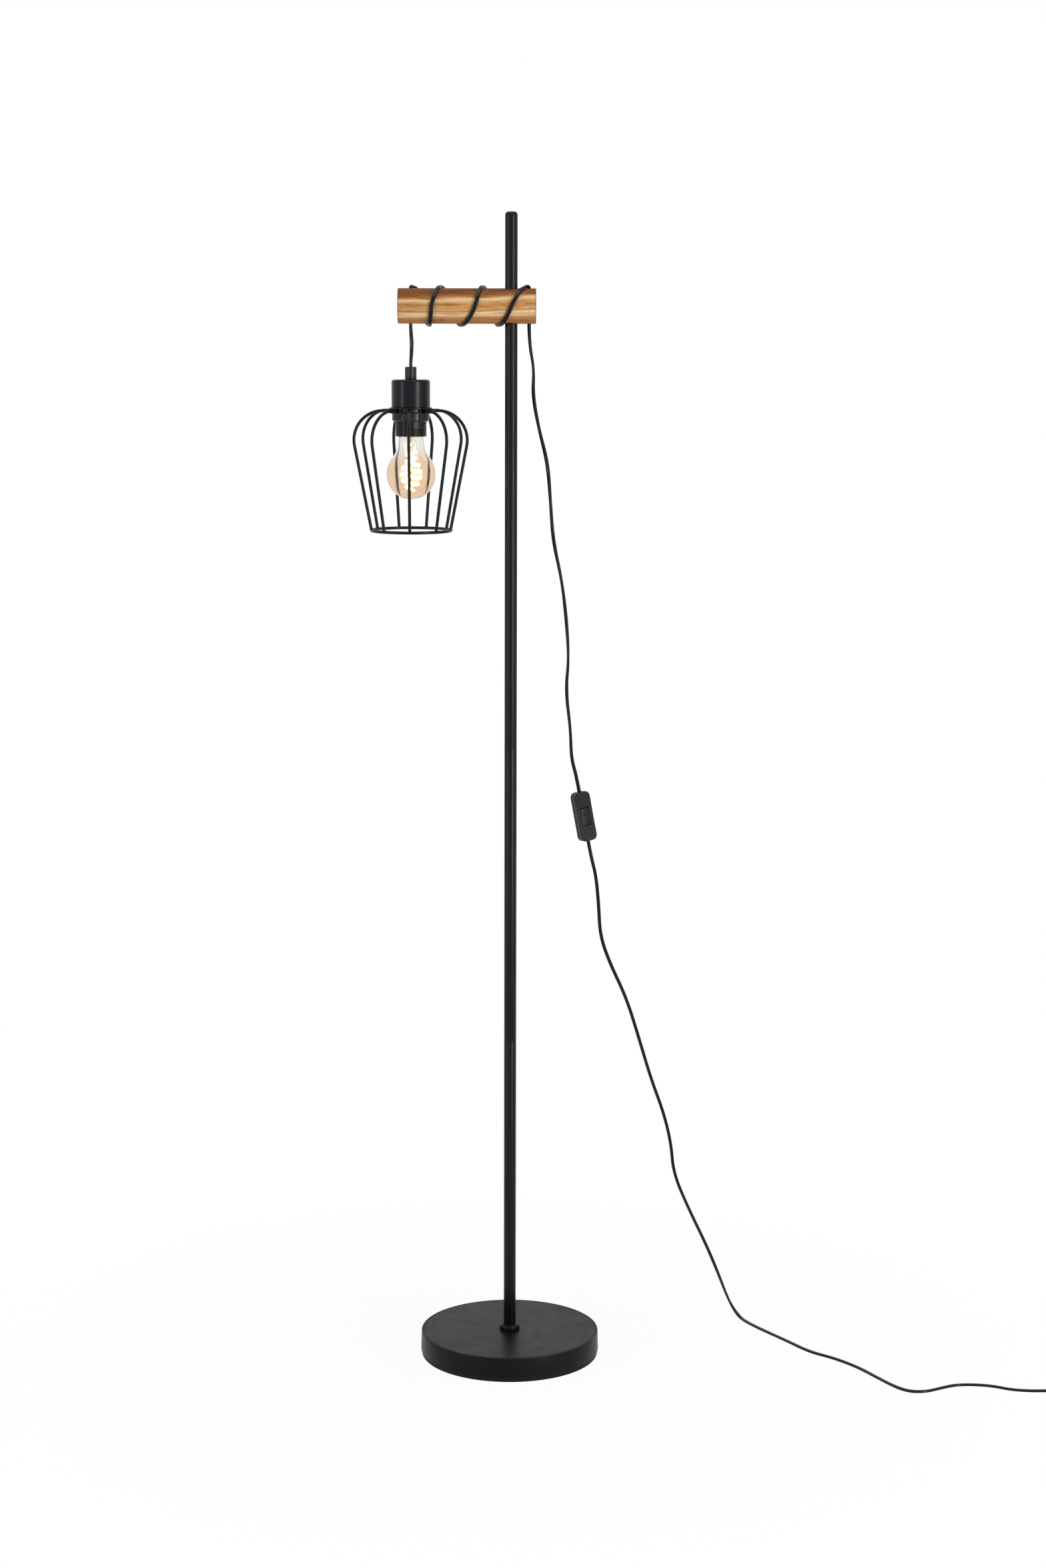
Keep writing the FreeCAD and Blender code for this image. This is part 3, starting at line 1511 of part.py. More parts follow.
# A flat twist tie holds the turns together on the side away from the plug.
tie_room = plain(s.flex_radius) + 0.5
tie_inner = min(coil_radius(3), coil_radius(7), coil_radius(11)) - tie_room
tie_outer = max(coil_radius(3), coil_radius(7), coil_radius(11)) + tie_room
tie_wall = plain(s.tie_wall)
tie_bottom = floor_z - plain(s.flex_radius) - tie_wall
tie_top = floor_z + plain(s.coil_layer) + tie_room
tie_x = coil_x - (tie_inner + tie_outer) / 2.0
tie_outside = box(
    "tie_outside",
    tie_outer - tie_inner + 2.0 * tie_wall,
    s.tie_width,
    tie_top - tie_bottom + tie_wall,
    x=tie_x,
    y=coil_centre.y,
    z=tie_bottom,
)
tie_inside = box(
    "tie_inside",
    tie_outer - tie_inner,
    s.tie_width,
    tie_top - tie_bottom - tie_wall,
    x=tie_x,
    y=coil_centre.y,
    z=tie_bottom + tie_wall,
)
keep("coil_tie", cut("coil_tie", tie_outside, tie_inside))

# ---------------------------------------------------------------- plug

plug_back = plug_start.y + plain(s.relief_length)
plug_front = plug_back + plain(s.plug_depth)
half_plug = plain(s.plug_width) / 2.0
half_neck = plain(s.plug_neck) / 2.0
plug_low = plug_start.z - plain(s.plug_height) / 2.0
outline = [
    Vector(-half_neck, plug_back, plug_low),
    Vector(half_neck, plug_back, plug_low),
    Vector(half_plug, plug_back + 16.0, plug_low),
    Vector(half_plug, plug_front, plug_low),
    Vector(-half_plug, plug_front, plug_low),
    Vector(-half_plug, plug_back + 16.0, plug_low),
]
plug_face = Part.Face(Part.makePolygon(outline + outline[:1]))
plug_block = feature("plug_block", plug_face.extrude(Vector(0, 0, plain(s.plug_height))))
plug_block.Placement = Placement(Vector(plug_start.x, 0, 0), Rotation())
plug_soft = rounded(
    "plug_soft", plug_block, s.plug_round, lambda edge: edge.CenterOfMass.y < plug_front - 0.1
)
relief = document.addObject("Part::Cone", "plug_relief")
bind(relief, "Radius1", s.relief_tip)
bind(relief, "Radius2", s.relief_radius)
bind(relief, "Height", s.relief_length + 1.0)
relief.Placement = Placement(plug_start, Rotation(Vector(1, 0, 0), -90))
keep("plug_body", fuse("plug_body", plug_soft, relief))

pins = []
for side in (-1.0, 1.0):
    label = "west" if side < 0 else "east"
    pin_x = plug_start.x + side * plain(s.pin_spacing) / 2.0
    shank = cylinder(
        "pin_shank_" + label,
        s.pin_radius - s.pin_step,
        s.pin_length - s.pin_bare,
        x=pin_x,
        y=plug_front,
        z=plug_start.z,
        along="Y",
    )
    bare = cylinder(
        "pin_bare_" + label,
        s.pin_radius,
        s.pin_bare,
        x=pin_x,
        y=s.pin_length - s.pin_bare + plug_front,
        z=plug_start.z,
        along="Y",
    )
    pins.append(fuse("plug_pin_" + label, shank, bare))
keep("plug_pins", group("plug_pins", *pins))

# ---------------------------------------------------------------- checks and files

document.recompute()
for item in document.Objects:
    if "Invalid" in item.State or "Error" in item.State:
        raise RuntimeError("%s failed: %s" % (item.Name, item.State))
for name, item in subparts.items():
    if item.Shape.isNull() or not item.Shape.isValid():
        raise RuntimeError("%s has no valid shape" % name)

os.makedirs("parts", exist_ok=True)
for name, item in subparts.items():
    item.Shape.exportStep("parts/%s.step" % name)
    shape_box = item.Shape.BoundBox
    print(
        "%-20s solids %2d  volume %10.1f  x %.1f..%.1f  y %.1f..%.1f  z %.1f..%.1f"
        % (
            name,
            len(item.Shape.Solids),
            item.Shape.Volume,
            shape_box.XMin,
            shape_box.XMax,
            shape_box.YMin,
            shape_box.YMax,
            shape_box.ZMin,
            shape_box.ZMax,
        )
    )
print("%d sub-parts" % len(subparts))
print("plug start %s, plug front %.2f" % (plug_start, plug_front))
wrap_play = wrap_shape.distToShape(subparts["arm_beam"].Shape)[0]
print("flex_wraps to arm_beam: %.2f" % wrap_play)
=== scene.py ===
import math

import bmesh
import bpy
from mathutils import Matrix, Vector


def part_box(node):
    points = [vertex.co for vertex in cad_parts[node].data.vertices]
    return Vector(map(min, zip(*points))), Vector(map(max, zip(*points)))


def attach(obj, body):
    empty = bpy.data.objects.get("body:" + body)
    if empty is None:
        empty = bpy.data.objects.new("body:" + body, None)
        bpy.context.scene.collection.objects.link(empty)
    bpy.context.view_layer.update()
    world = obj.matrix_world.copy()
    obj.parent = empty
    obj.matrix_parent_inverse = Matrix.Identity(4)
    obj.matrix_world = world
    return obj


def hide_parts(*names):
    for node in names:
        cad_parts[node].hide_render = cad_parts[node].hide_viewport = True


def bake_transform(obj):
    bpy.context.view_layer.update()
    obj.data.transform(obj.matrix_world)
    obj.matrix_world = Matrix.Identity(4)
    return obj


bl_info = {
    "name": "Wire Cage Floor Lamp", "version": (1, 0, 0), "blender": (4, 5, 0),
    "location": "3D View > Sidebar > Floor Lamp",
    "description": "Dresses the packed floor lamp: coats, wood, flex, cage, bulb and switch",
    "category": "Add Mesh"
}

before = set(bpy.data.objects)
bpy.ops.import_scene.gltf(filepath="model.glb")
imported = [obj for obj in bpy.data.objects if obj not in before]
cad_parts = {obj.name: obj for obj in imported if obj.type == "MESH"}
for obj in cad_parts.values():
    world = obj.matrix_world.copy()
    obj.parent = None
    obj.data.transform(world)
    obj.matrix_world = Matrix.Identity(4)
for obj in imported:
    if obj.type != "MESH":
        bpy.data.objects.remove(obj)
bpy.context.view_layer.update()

PLUMB = Vector((0.0, 0.0, 1.0))
Vert, Edge = bmesh.types.BMVert, bmesh.types.BMEdge


def linear(code):
    """An sRGB hex colour as the linear colour that the nodes take."""
    channels = [int(code[place : place + 2], 16) / 255.0 for place in (0, 2, 4)]
    bent = [c / 12.92 if c <= 0.04045 else ((c + 0.055) / 1.055) ** 2.4 for c in channels]
    return (*bent, 1.0)


class Extent:
    """The box of a CAD node: its corners, its middle and its half width along X."""

    def __init__(self, node):
        self.low, self.high = (Vector(corner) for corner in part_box(node))
        self.middle = (self.low + self.high) / 2.0
        self.radius = (self.high.x - self.low.x) / 2.0


POLE = Extent("pole_tube_lower")
BEAM = Extent("arm_beam")
CUP = Extent("socket_cup")
PLATE_UPPER = Extent("cage_plate_upper")
PLATE_LOWER = Extent("cage_plate_lower")
MOUTH = Extent("cage_bottom_ring")
BEAM_RADIUS = (BEAM.high.z - BEAM.low.z) / 2.0
BEAM_AXIS = BEAM.middle.z
PENDANT_X = CUP.middle.x
LEAD_X = 0.0226
FLEX_HOLE = 0.0042
TUBE_WALL = 0.001
PLATE_BORE = 0.0205


# ---- sizes and colours


def distance(name, description, default):
    return bpy.props.FloatProperty(
        name=name, description=description, default=default, min=0.0, precision=5, unit="LENGTH",
        subtype="DISTANCE"
    )


def colour(name, description, code):
    return bpy.props.FloatVectorProperty(
        name=name, description=description, default=linear(code), size=4, min=0.0, max=1.0,
        subtype="COLOR"
    )


class LampSizes(bpy.types.PropertyGroup):
    """Sizes of the visible finish that a user would change."""

    flex_width: distance("Flex width", "Width of the flat twin flex", 0.0052)
    flex_thickness: distance("Flex thickness", "Thickness of the flat twin flex", 0.0033)
    wire_radius: distance(
        "Wire radius", "Radius of the cage's wires", MOUTH.high.z / 2.0 - MOUTH.low.z / 2.0
    )
    edge_round: distance("Edge rounding", "Rounding of the coated metal's edges", 0.0006)
    seam_bevel: distance("Seam bevel", "Bevel at the ends of the pole's tubes", 0.00035)
    glass_wall: distance("Glass wall", "Thickness of the bulb's glass", 0.0008)
    filament_radius: distance("Filament radius", "Radius of the glowing spiral", 0.0018)
    grain_spacing: distance("Grain spacing", "Width of the wood's finest streaks", 0.0009)
    coat_grain: distance("Coat grain", "Grain of the powder coat", 0.0007)


class LampColours(bpy.types.PropertyGroup):
    """Colours that a user would change."""

    coat: colour("Powder coat", "Steel parts", "08080A")
    holder: colour("Lampholder", "Moulded lampholder parts", "0E0E10")
    flex: colour("Flex", "PVC sheath of the flex", "0B0B0C")
    switch: colour("Switch", "Moulded switch", "0F1115")
    glass: colour("Bulb glass", "Amber coating of the bulb", "F9E6D0")
    glow: colour("Filament", "Light of the filament", "FFCC84")
    stage: colour("Floor", "Floor and backdrop", "F2F2F2")


# ---- building blocks


def add_node(tree, kind, inputs, stops=(), **settings):
    """Adds a node with its settings and gives its outputs.

    Each input is a value or the output that feeds it.
    """
    node = tree.nodes.new("ShaderNode" + kind)
    for name, value in settings.items():
        setattr(node, name, value)
    for name, value in inputs.items():
        if isinstance(value, bpy.types.NodeSocket):
            tree.links.new(value, node.inputs[name])
        else:
            node.inputs[name].default_value = value
    for number, (position, code) in enumerate(stops):
        elements = node.color_ramp.elements
        if number == 0:
            elements.remove(elements[-1])
            elements[0].position = position
        stop = elements.new(position) if number else elements[0]
        stop.color = linear(code)
    return node.outputs


def start_material(name, values):
    """A material with one Principled shader, and its node tree."""
    material = bpy.data.materials.new(name)
    material.use_nodes = True
    tree = material.node_tree
    tree.nodes.clear()
    shader = tree.nodes.new("ShaderNodeBsdfPrincipled")
    for socket, value in values.items():
        shader.inputs[socket].default_value = value
    add_node(tree, "OutputMaterial", {"Surface": shader.outputs["BSDF"]})
    return material, tree, shader


def pattern_place(tree, size):
    """Object coordinates in which one unit is the given size in metres along each axis."""
    source = add_node(tree, "TexCoord", {})
    if isinstance(size, float):
        size = (size, size, size)
    mapping = add_node(
        tree, "Mapping", {"Scale": [1.0 / length for length in size], "Vector": source["Object"]}
    )
    return mapping["Vector"]


def seen_plainly(tree):
    """One for the rays that look at, mirror or pass through to a surface, else zero."""
    path = add_node(tree, "LightPath", {})
    share = path["Is Camera Ray"]
    for ray in ("Is Glossy Ray", "Is Transmission Ray"):
        links = {0: share, 1: path[ray]}
        larger = add_node(tree, "Math", links, operation="MAXIMUM")
        share = larger["Value"]
    return share


def moulded_surface(name, base, roughness, grain, bump, level=0.5, tint=(1.0, 1.0, 1.0, 1.0)):
    """A surface with an even grain: a fine noise for its bump, a broad one for its gloss."""
    material, tree, shader = start_material(
        name,
        {
            "Base Color": base, "Roughness": roughness, "Specular IOR Level": level,
            "Specular Tint": tint
        }
    )
    fine = add_node(
        tree, "TexNoise",
        {"Scale": 1.0, "Detail": 3.0, "Roughness": 0.6, "Vector": pattern_place(tree, grain)}
    )
    broad = add_node(
        tree, "TexNoise", {"Scale": 1.0, "Detail": 2.0, "Vector": pattern_place(tree, grain * 30.0)}
    )
    relief = add_node(tree, "Bump", {"Strength": 0.6, "Distance": bump, "Height": fine["Fac"]})
    tree.links.new(relief["Normal"], shader.inputs["Normal"])
    swing = 0.04
    gloss = add_node(
        tree, "MapRange",
        {
            "From Min": 0.3, "From Max": 0.7, "To Min": roughness - swing,
            "To Max": roughness + swing, "Value": broad["Fac"]
        }
    )
    tree.links.new(gloss["Result"], shader.inputs["Roughness"])
    mottle = add_node(
        tree, "Mix", {"Factor": 0.25, "A": base, "B": fine["Color"]}, data_type="RGBA",
        blend_type="MULTIPLY"
    )
    tree.links.new(mottle["Result"], shader.inputs["Base Color"])
    return material


def metal_surface(name, code, roughness, brush):
    """A bare metal with fine marks of the given sizes along each axis."""
    material, tree, shader = start_material(
        name, {"Base Color": linear(code), "Metallic": 1.0, "Roughness": roughness}
    )
    marks = add_node(
        tree, "TexNoise", {"Scale": 1.0, "Detail": 2.0, "Vector": pattern_place(tree, brush)}
    )
    gloss = add_node(
        tree, "MapRange",
        {"To Min": roughness - 0.1, "To Max": roughness + 0.12, "Value": marks["Fac"]}
    )
    tree.links.new(gloss["Result"], shader.inputs["Roughness"])
    relief = add_node(tree, "Bump", {"Strength": 0.3, "Distance": 0.00002, "Height": marks["Fac"]})
    tree.links.new(relief["Normal"], shader.inputs["Normal"])
    return material


def mesh_piece(name, mesh, material, body, nodes, sharp=32.0):
    """Puts a finished mesh in the scene as a piece that rides on a body.

    In place of a body's name, (body, next body, start, end) leaves the piece on no body, its mesh
    where it was made.
    """
    mesh.name = name
    mesh.materials.clear()
    mesh.materials.append(material)
    mesh.shade_smooth()
    mesh.set_sharp_from_angle(angle=math.radians(sharp))
    piece = bpy.data.objects.new(name, mesh)
    bpy.context.scene.collection.objects.link(piece)
    if isinstance(body, str):
        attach(piece, body)
    else:
        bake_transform(piece)
    if nodes:
        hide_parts(*nodes)
    return piece


def made_mesh(name, form):
    mesh = bpy.data.meshes.new(name)
    form.to_mesh(mesh)
    form.free()
    return mesh


def bmesh_piece(name, form, material, body, nodes=(), sharp=32.0):
    return mesh_piece(name, made_mesh(name, form), material, body, nodes, sharp)


def face_out(form):
    bmesh.ops.recalc_face_normals(form, faces=form.faces[:])


def bevel(form, geom, offset, segments, affect="EDGES"):
    """Rounds edges or corners of a form, and says what it made."""
    return bmesh.ops.bevel(
        form, geom=geom, offset=offset, offset_type="OFFSET", affect=affect, segments=segments,
        profile=0.5, material=-1
    )


def only(kind, items):
    """The vertices or the edges among what an operation gives back."""
    return [item for item in items if isinstance(item, kind)]


def spin_round(form, geom, centre, steps):
    """Spins a section once round a plumb line, and closes the seam."""
    bmesh.ops.spin(
        form, geom=geom, cent=centre, axis=PLUMB, angle=math.tau, steps=steps, use_merge=True
    )
    bmesh.ops.remove_doubles(form, verts=form.verts[:], dist=1e-7)
    face_out(form)


def spin_outline(form, outline, centre, rounds, steps=96):
    """Adds a turned solid: a half outline of (radius, height), some corners rounded."""
    corners = [form.verts.new((centre.x + reach, centre.y, level)) for reach, level in outline]
    edges = [form.edges.new(pair) for pair in zip(corners, corners[1:] + corners[:1])]
    line = set(corners) | set(edges)
    for place, radius in rounds.items():
        made = bevel(form, [corners[place]], radius, 5, "VERTICES")
        line |= set(made["verts"]) | set(made["edges"])
    verts = only(Vert, [item for item in line if item.is_valid])
    ends = {edge for vert in verts for edge in vert.link_edges}
    spin_round(form, verts + list(ends), (centre.x, centre.y, 0.0), steps)


def sleeve_outline(inner, extent):
    """The half outline of a sleeve or disc round a bore: corners 1 and 2 are the outer ones."""
    return [
        (inner, extent.low.z), (extent.radius, extent.low.z), (extent.radius, extent.high.z),
        (inner, extent.high.z)
    ]


def turned_piece(
    name, outline, rounds, material, body, nodes, centre=None, steps=96, sharp=32.0
):
    form = bmesh.new()
    spin_outline(form, outline, centre or Vector(), rounds, steps)
    return bmesh_piece(name, form, material, body, nodes, sharp)


def evaluated_mesh(thing):
    bpy.context.view_layer.update()
    ready = thing.evaluated_get(bpy.context.evaluated_depsgraph_get())
    return bpy.data.meshes.new_from_object(ready)


def carved_mesh(form, *cutters):
    """The mesh of a form with the cutters taken out of it."""
    things = []
    for number, source in enumerate((form, *cutters)):
        mesh = made_mesh("carving_%d" % number, source)
        thing = bpy.data.objects.new(mesh.name, mesh)
        bpy.context.scene.collection.objects.link(thing)
        things.append(thing)
    block = things[0]
    for cutter in things[1:]:
        carve = block.modifiers.new("carve", "BOOLEAN")
        carve.operation = "DIFFERENCE"
        carve.solver = "EXACT"
        carve.object = cutter
    result = evaluated_mesh(block)
    for thing in things:
        old = thing.data
        bpy.data.objects.remove(thing)
        bpy.data.meshes.remove(old)
    return result


def rod(radius, length, matrix=None, segments=48):
    """A plain closed cylinder along Z, to carve with or to build on."""
    form = bmesh.new()
    bmesh.ops.create_cone(
        form, cap_ends=True, cap_tris=False, segments=segments, radius1=radius, radius2=radius,
        depth=length, matrix=matrix or Matrix()
    )
    return form


def soft_block(size, corner, edge):
    """A block whose four edges along Y and then its front and back rims are rounded."""
    form = bmesh.new()
    bmesh.ops.create_cube(form, size=1.0, matrix=Matrix.Diagonal((*size, 1.0)))
    uprights = [e for e in form.edges if abs((e.verts[0].co - e.verts[1].co).y) > size[1] * 0.5]
    bevel(form, uprights, corner, 8)
    rims = [
        e
        for e in form.edges
        if abs((e.verts[0].co - e.verts[1].co).y) < 1e-7
        and len({round(f.normal.y, 2) for f in e.link_faces}) > 1
    ]
    bevel(form, rims, edge, 4)
    return form


# ---- flex

# The routes of the lead, in metres, with the turn of the flat flex at each point,
# in degrees: 0 faces the viewer, 90 stands it on edge.
DROP_ROUTE = [
    (-0.1274, 0.0, 1.3562, 60.0), (-0.1271, 0.0, 1.3480, 50.0), (-0.1259, 0.0, 1.3330, 20.0),
    (-0.1265, 0.0, 1.3160, 45.0), (-0.1274, 0.0, 1.3080, 60.0), (-0.1274, 0.0, 1.3022, 60.0)
]
UPPER_ROUTE = [
    (0.0226, 0.0, 1.3562, 40.0), (0.0228, 0.0010, 1.3310, 60.0), (0.0290, 0.0040, 1.3000, 75.0),
    (0.0274, 0.0090, 1.2660, 35.0), (0.0358, 0.0130, 1.2220, 60.0), (0.0470, 0.0170, 1.1800, 20.0),
    (0.0508, 0.0230, 1.1280, 65.0), (0.0542, 0.0280, 1.0800, 35.0), (0.0656, 0.0330, 1.0300, 70.0),
    (0.0720, 0.0380, 0.9780, 40.0), (0.0754, 0.0420, 0.9260, 80.0), (0.0716, 0.0460, 0.8840, 45.0),
    (0.0782, 0.0510, 0.8320, 70.0), (0.0794, 0.0560, 0.7930, 50.0),
    (0.08628, 0.0610, 0.76908, 35.0), (0.09029, 0.0610, 0.74745, 30.0)
]
LOWER_ROUTE = [
    (0.10231, 0.0610, 0.68255, 30.0), (0.10632, 0.0610, 0.66092, 35.0),
    (0.1132, 0.0640, 0.6340, 60.0), (0.1170, 0.0680, 0.5940, 30.0), (0.1192, 0.0725, 0.5520, 60.0),
    (0.1324, 0.0770, 0.5140, 25.0), (0.1555, 0.0850, 0.4640, 60.0), (0.1735, 0.0940, 0.4050, 35.0),
    (0.1898, 0.1040, 0.3490, 65.0), (0.2086, 0.1140, 0.2970, 35.0), (0.2193, 0.1220, 0.2520, 70.0),
    (0.2232, 0.1290, 0.2080, 40.0), (0.2466, 0.1390, 0.1520, 70.0), (0.2698, 0.1455, 0.1030, 40.0),
    (0.2860, 0.1480, 0.0640, 60.0), (0.2975, 0.1470, 0.0340, 75.0), (0.3060, 0.1440, 0.0156, 85.0),
    (0.3165, 0.1310, 0.0027, 90.0), (0.3270, 0.1080, 0.0025, 80.0), (0.3450, 0.0790, 0.0024, 95.0),
    (0.3740, 0.0360, 0.0025, 75.0), (0.4000, -0.0060, 0.0024, 100.0),
    (0.4300, -0.0300, 0.0025, 80.0), (0.4580, -0.0640, 0.0024, 95.0),
    (0.4800, -0.1050, 0.0025, 75.0), (0.4990, -0.1380, 0.0025, 90.0),
    (0.5145, -0.1535, 0.0026, 105.0), (0.5350, -0.1535, 0.0025, 90.0),
    (0.5535, -0.1420, 0.0024, 80.0), (0.5750, -0.1295, 0.0025, 95.0),
    (0.5980, -0.1275, 0.0025, 80.0), (0.6240, -0.1320, 0.0024, 95.0),
    (0.6460, -0.1460, 0.0025, 80.0), (0.6720, -0.1506, 0.0026, 95.0),
    (0.7000, -0.1494, 0.0027, 90.0), (0.7260, -0.1500, 0.0027, 90.0)
]
FLOOR_LEVEL = 0.0027
COIL_INNER = 0.024
COIL_PITCH = 0.0058
COIL_LAYER = 0.0049
COIL_EXIT = 0.0052
# The spiral runs inward for this many quarter turns, then outward a layer higher.
COIL_TURNING = 6
COIL_QUARTERS = 13
COIL_POINTS_PER_QUARTER = 4


def read_spline(name, points):
    """The smooth line that a NURBS spline makes of its control points."""
    data = bpy.data.curves.new(name, "CURVE")
    data.dimensions = "3D"
    data.resolution_u = 6
    spline = data.splines.new("NURBS")
    spline.points.add(len(points) - 1)
    for control, point in zip(spline.points, points):
        control.co = (*point, 1.0)
    spline.order_u = 3
    spline.use_endpoint_u = True
    thing = bpy.data.objects.new(name, data)
    bpy.context.scene.collection.objects.link(thing)
    mesh = evaluated_mesh(thing)
    line = [vert.co.copy() for vert in mesh.vertices]
    bpy.data.meshes.remove(mesh)
    bpy.data.objects.remove(thing)
    bpy.data.curves.remove(data)
    clear = [line[0]]
    for point in line[1:]:
        if (point - clear[-1]).length > 0.0002:
            clear.append(point)
    return clear


def flex_outline(sizes):
    """Half the flat flex's section: a stadium with a shallow groove between its two cores."""
    lobe = sizes.flex_thickness / 2.0
    shift = sizes.flex_width / 2.0 - lobe
    points = []
    for step in range(-4, 5):
        turn = math.radians(step * 21.0)
        points.append(Vector((shift + lobe * math.cos(turn), lobe * math.sin(turn), 0.0)))
    points.append(Vector((0.0, lobe * 0.90, 0.0)))
    mirrored = [Vector((-point.x, -point.y, 0.0)) for point in points]
    return points + mirrored


def extrude_rim(form, edges, matrix):
    """Extrudes a rim, moves it by the matrix and says which edges it has now."""
    grown = bmesh.ops.extrude_edge_only(form, edges=edges)["geom"]
    verts = only(Vert, grown)
    bmesh.ops.transform(form, matrix=matrix, verts=verts)
    return [edge for edge in only(Edge, grown) if all(vert in verts for vert in edge.verts)]


def sweep(form, outline, line, facings):
    """Carries an outline along a line by extruding it step by step; facings turn it."""
    last = len(line) - 1
    places = []
    for number, point in enumerate(line):
        way = (line[min(number + 1, last)] - line[max(number - 1, 0)]).normalized()
        face = facings[number] - way * facings[number].dot(way)
        face.normalize()
        across = face.cross(way)
        places.append(Matrix((across, face, way)).transposed().to_4x4())
        places[-1].translation = point
    ring = [form.verts.new(places[0] @ corner) for corner in outline]
    edges = [form.edges.new(pair) for pair in zip(ring, ring[1:] + ring[:1])]
    form.faces.new(ring)
    for before, after in zip(places, places[1:]):
        edges = extrude_rim(form, edges, after @ before.inverted())
    bmesh.ops.contextual_create(form, geom=edges)
    face_out(form)


def lead_facings(line, route):
    """The way the flat flex faces along a line, from the turns given at its route's points."""
    facings = []
    cell = 0
    for point in line:
        while cell < len(route) - 2:
            here = Vector(route[cell][:3])
            there = Vector(route[cell + 1][:3])
            if (point - here).dot(there - here) <= (there - here).length_squared:
                break
            cell += 1
        here = Vector(route[cell][:3])
        there = Vector(route[cell + 1][:3])
        share = (point - here).dot(there - here) / (there - here).length_squared
        share = min(max(share, 0.0), 1.0)
        turn = math.radians(route[cell][3] * (1.0 - share) + route[cell + 1][3] * share)
        way = (there - here).normalized()
        steep = abs(way.z) > 0.7
        side = Vector((0.0, -1.0, 0.0)) if steep else -PLUMB
        if not steep:
            turn -= math.pi / 2.0
        facings.append(Matrix.Rotation(turn, 3, way) @ side)
    return facings


def eased(facings, reach):
    """The same facings, each the mean of its neighbours up to reach steps away."""
    soft = []
    for number in range(len(facings)):
        near = facings[max(number - reach, 0) : number + reach + 1]
        soft.append(sum(near, Vector()).normalized())
    return soft


def coil_route(start):
    """Control points of the put-away turns, from where the lead enters them."""
    centre = start + Vector((0.0, COIL_INNER + COIL_PITCH * COIL_TURNING / 4.0, 0.0))
    steps = COIL_QUARTERS * COIL_POINTS_PER_QUARTER
    half_step = math.pi / 4.0 / COIL_POINTS_PER_QUARTER
    swell = 2.0 / (1.0 + math.cos(half_step * 2.0))
    points = []
    for step in range(1, steps):
        quarter = step / COIL_POINTS_PER_QUARTER
        reach = COIL_INNER + COIL_PITCH * abs(quarter - COIL_TURNING) / 4.0
        reach *= 1.0 + (swell - 1.0) / 2.0
        turn = math.pi / 2.0 * (quarter - 1.0)
        climb = min(max((quarter - COIL_TURNING + 1.0) / 2.0, 0.0), 1.0)
        climb = climb * climb * (3.0 - 2.0 * climb)
        level = COIL_LAYER * climb
        points.append(centre + Vector((reach * math.cos(turn), reach * math.sin(turn), level)))
    last_reach = COIL_INNER + COIL_PITCH * (COIL_QUARTERS - COIL_TURNING) / 4.0
    end = centre + Vector((last_reach, 0.0, COIL_LAYER))
    points.append(end)
    points.append(end + Vector((0.0, COIL_EXIT, 0.0)))
    return points, centre


def pvc_sheath(colours):
    """Soft PVC, extruded over two cores: near black, long narrow highlights, hardly any grain."""
    return moulded_surface("pvc_sheath", colours.flex, 0.16, 0.0009, 0.000003, level=0.18)


def flex_piece(name, line, facings, sizes, material, body, nodes):
    form = bmesh.new()
    sweep(form, flex_outline(sizes), line, facings)
    return bmesh_piece(name, form, material, body, nodes, sharp=50.0)


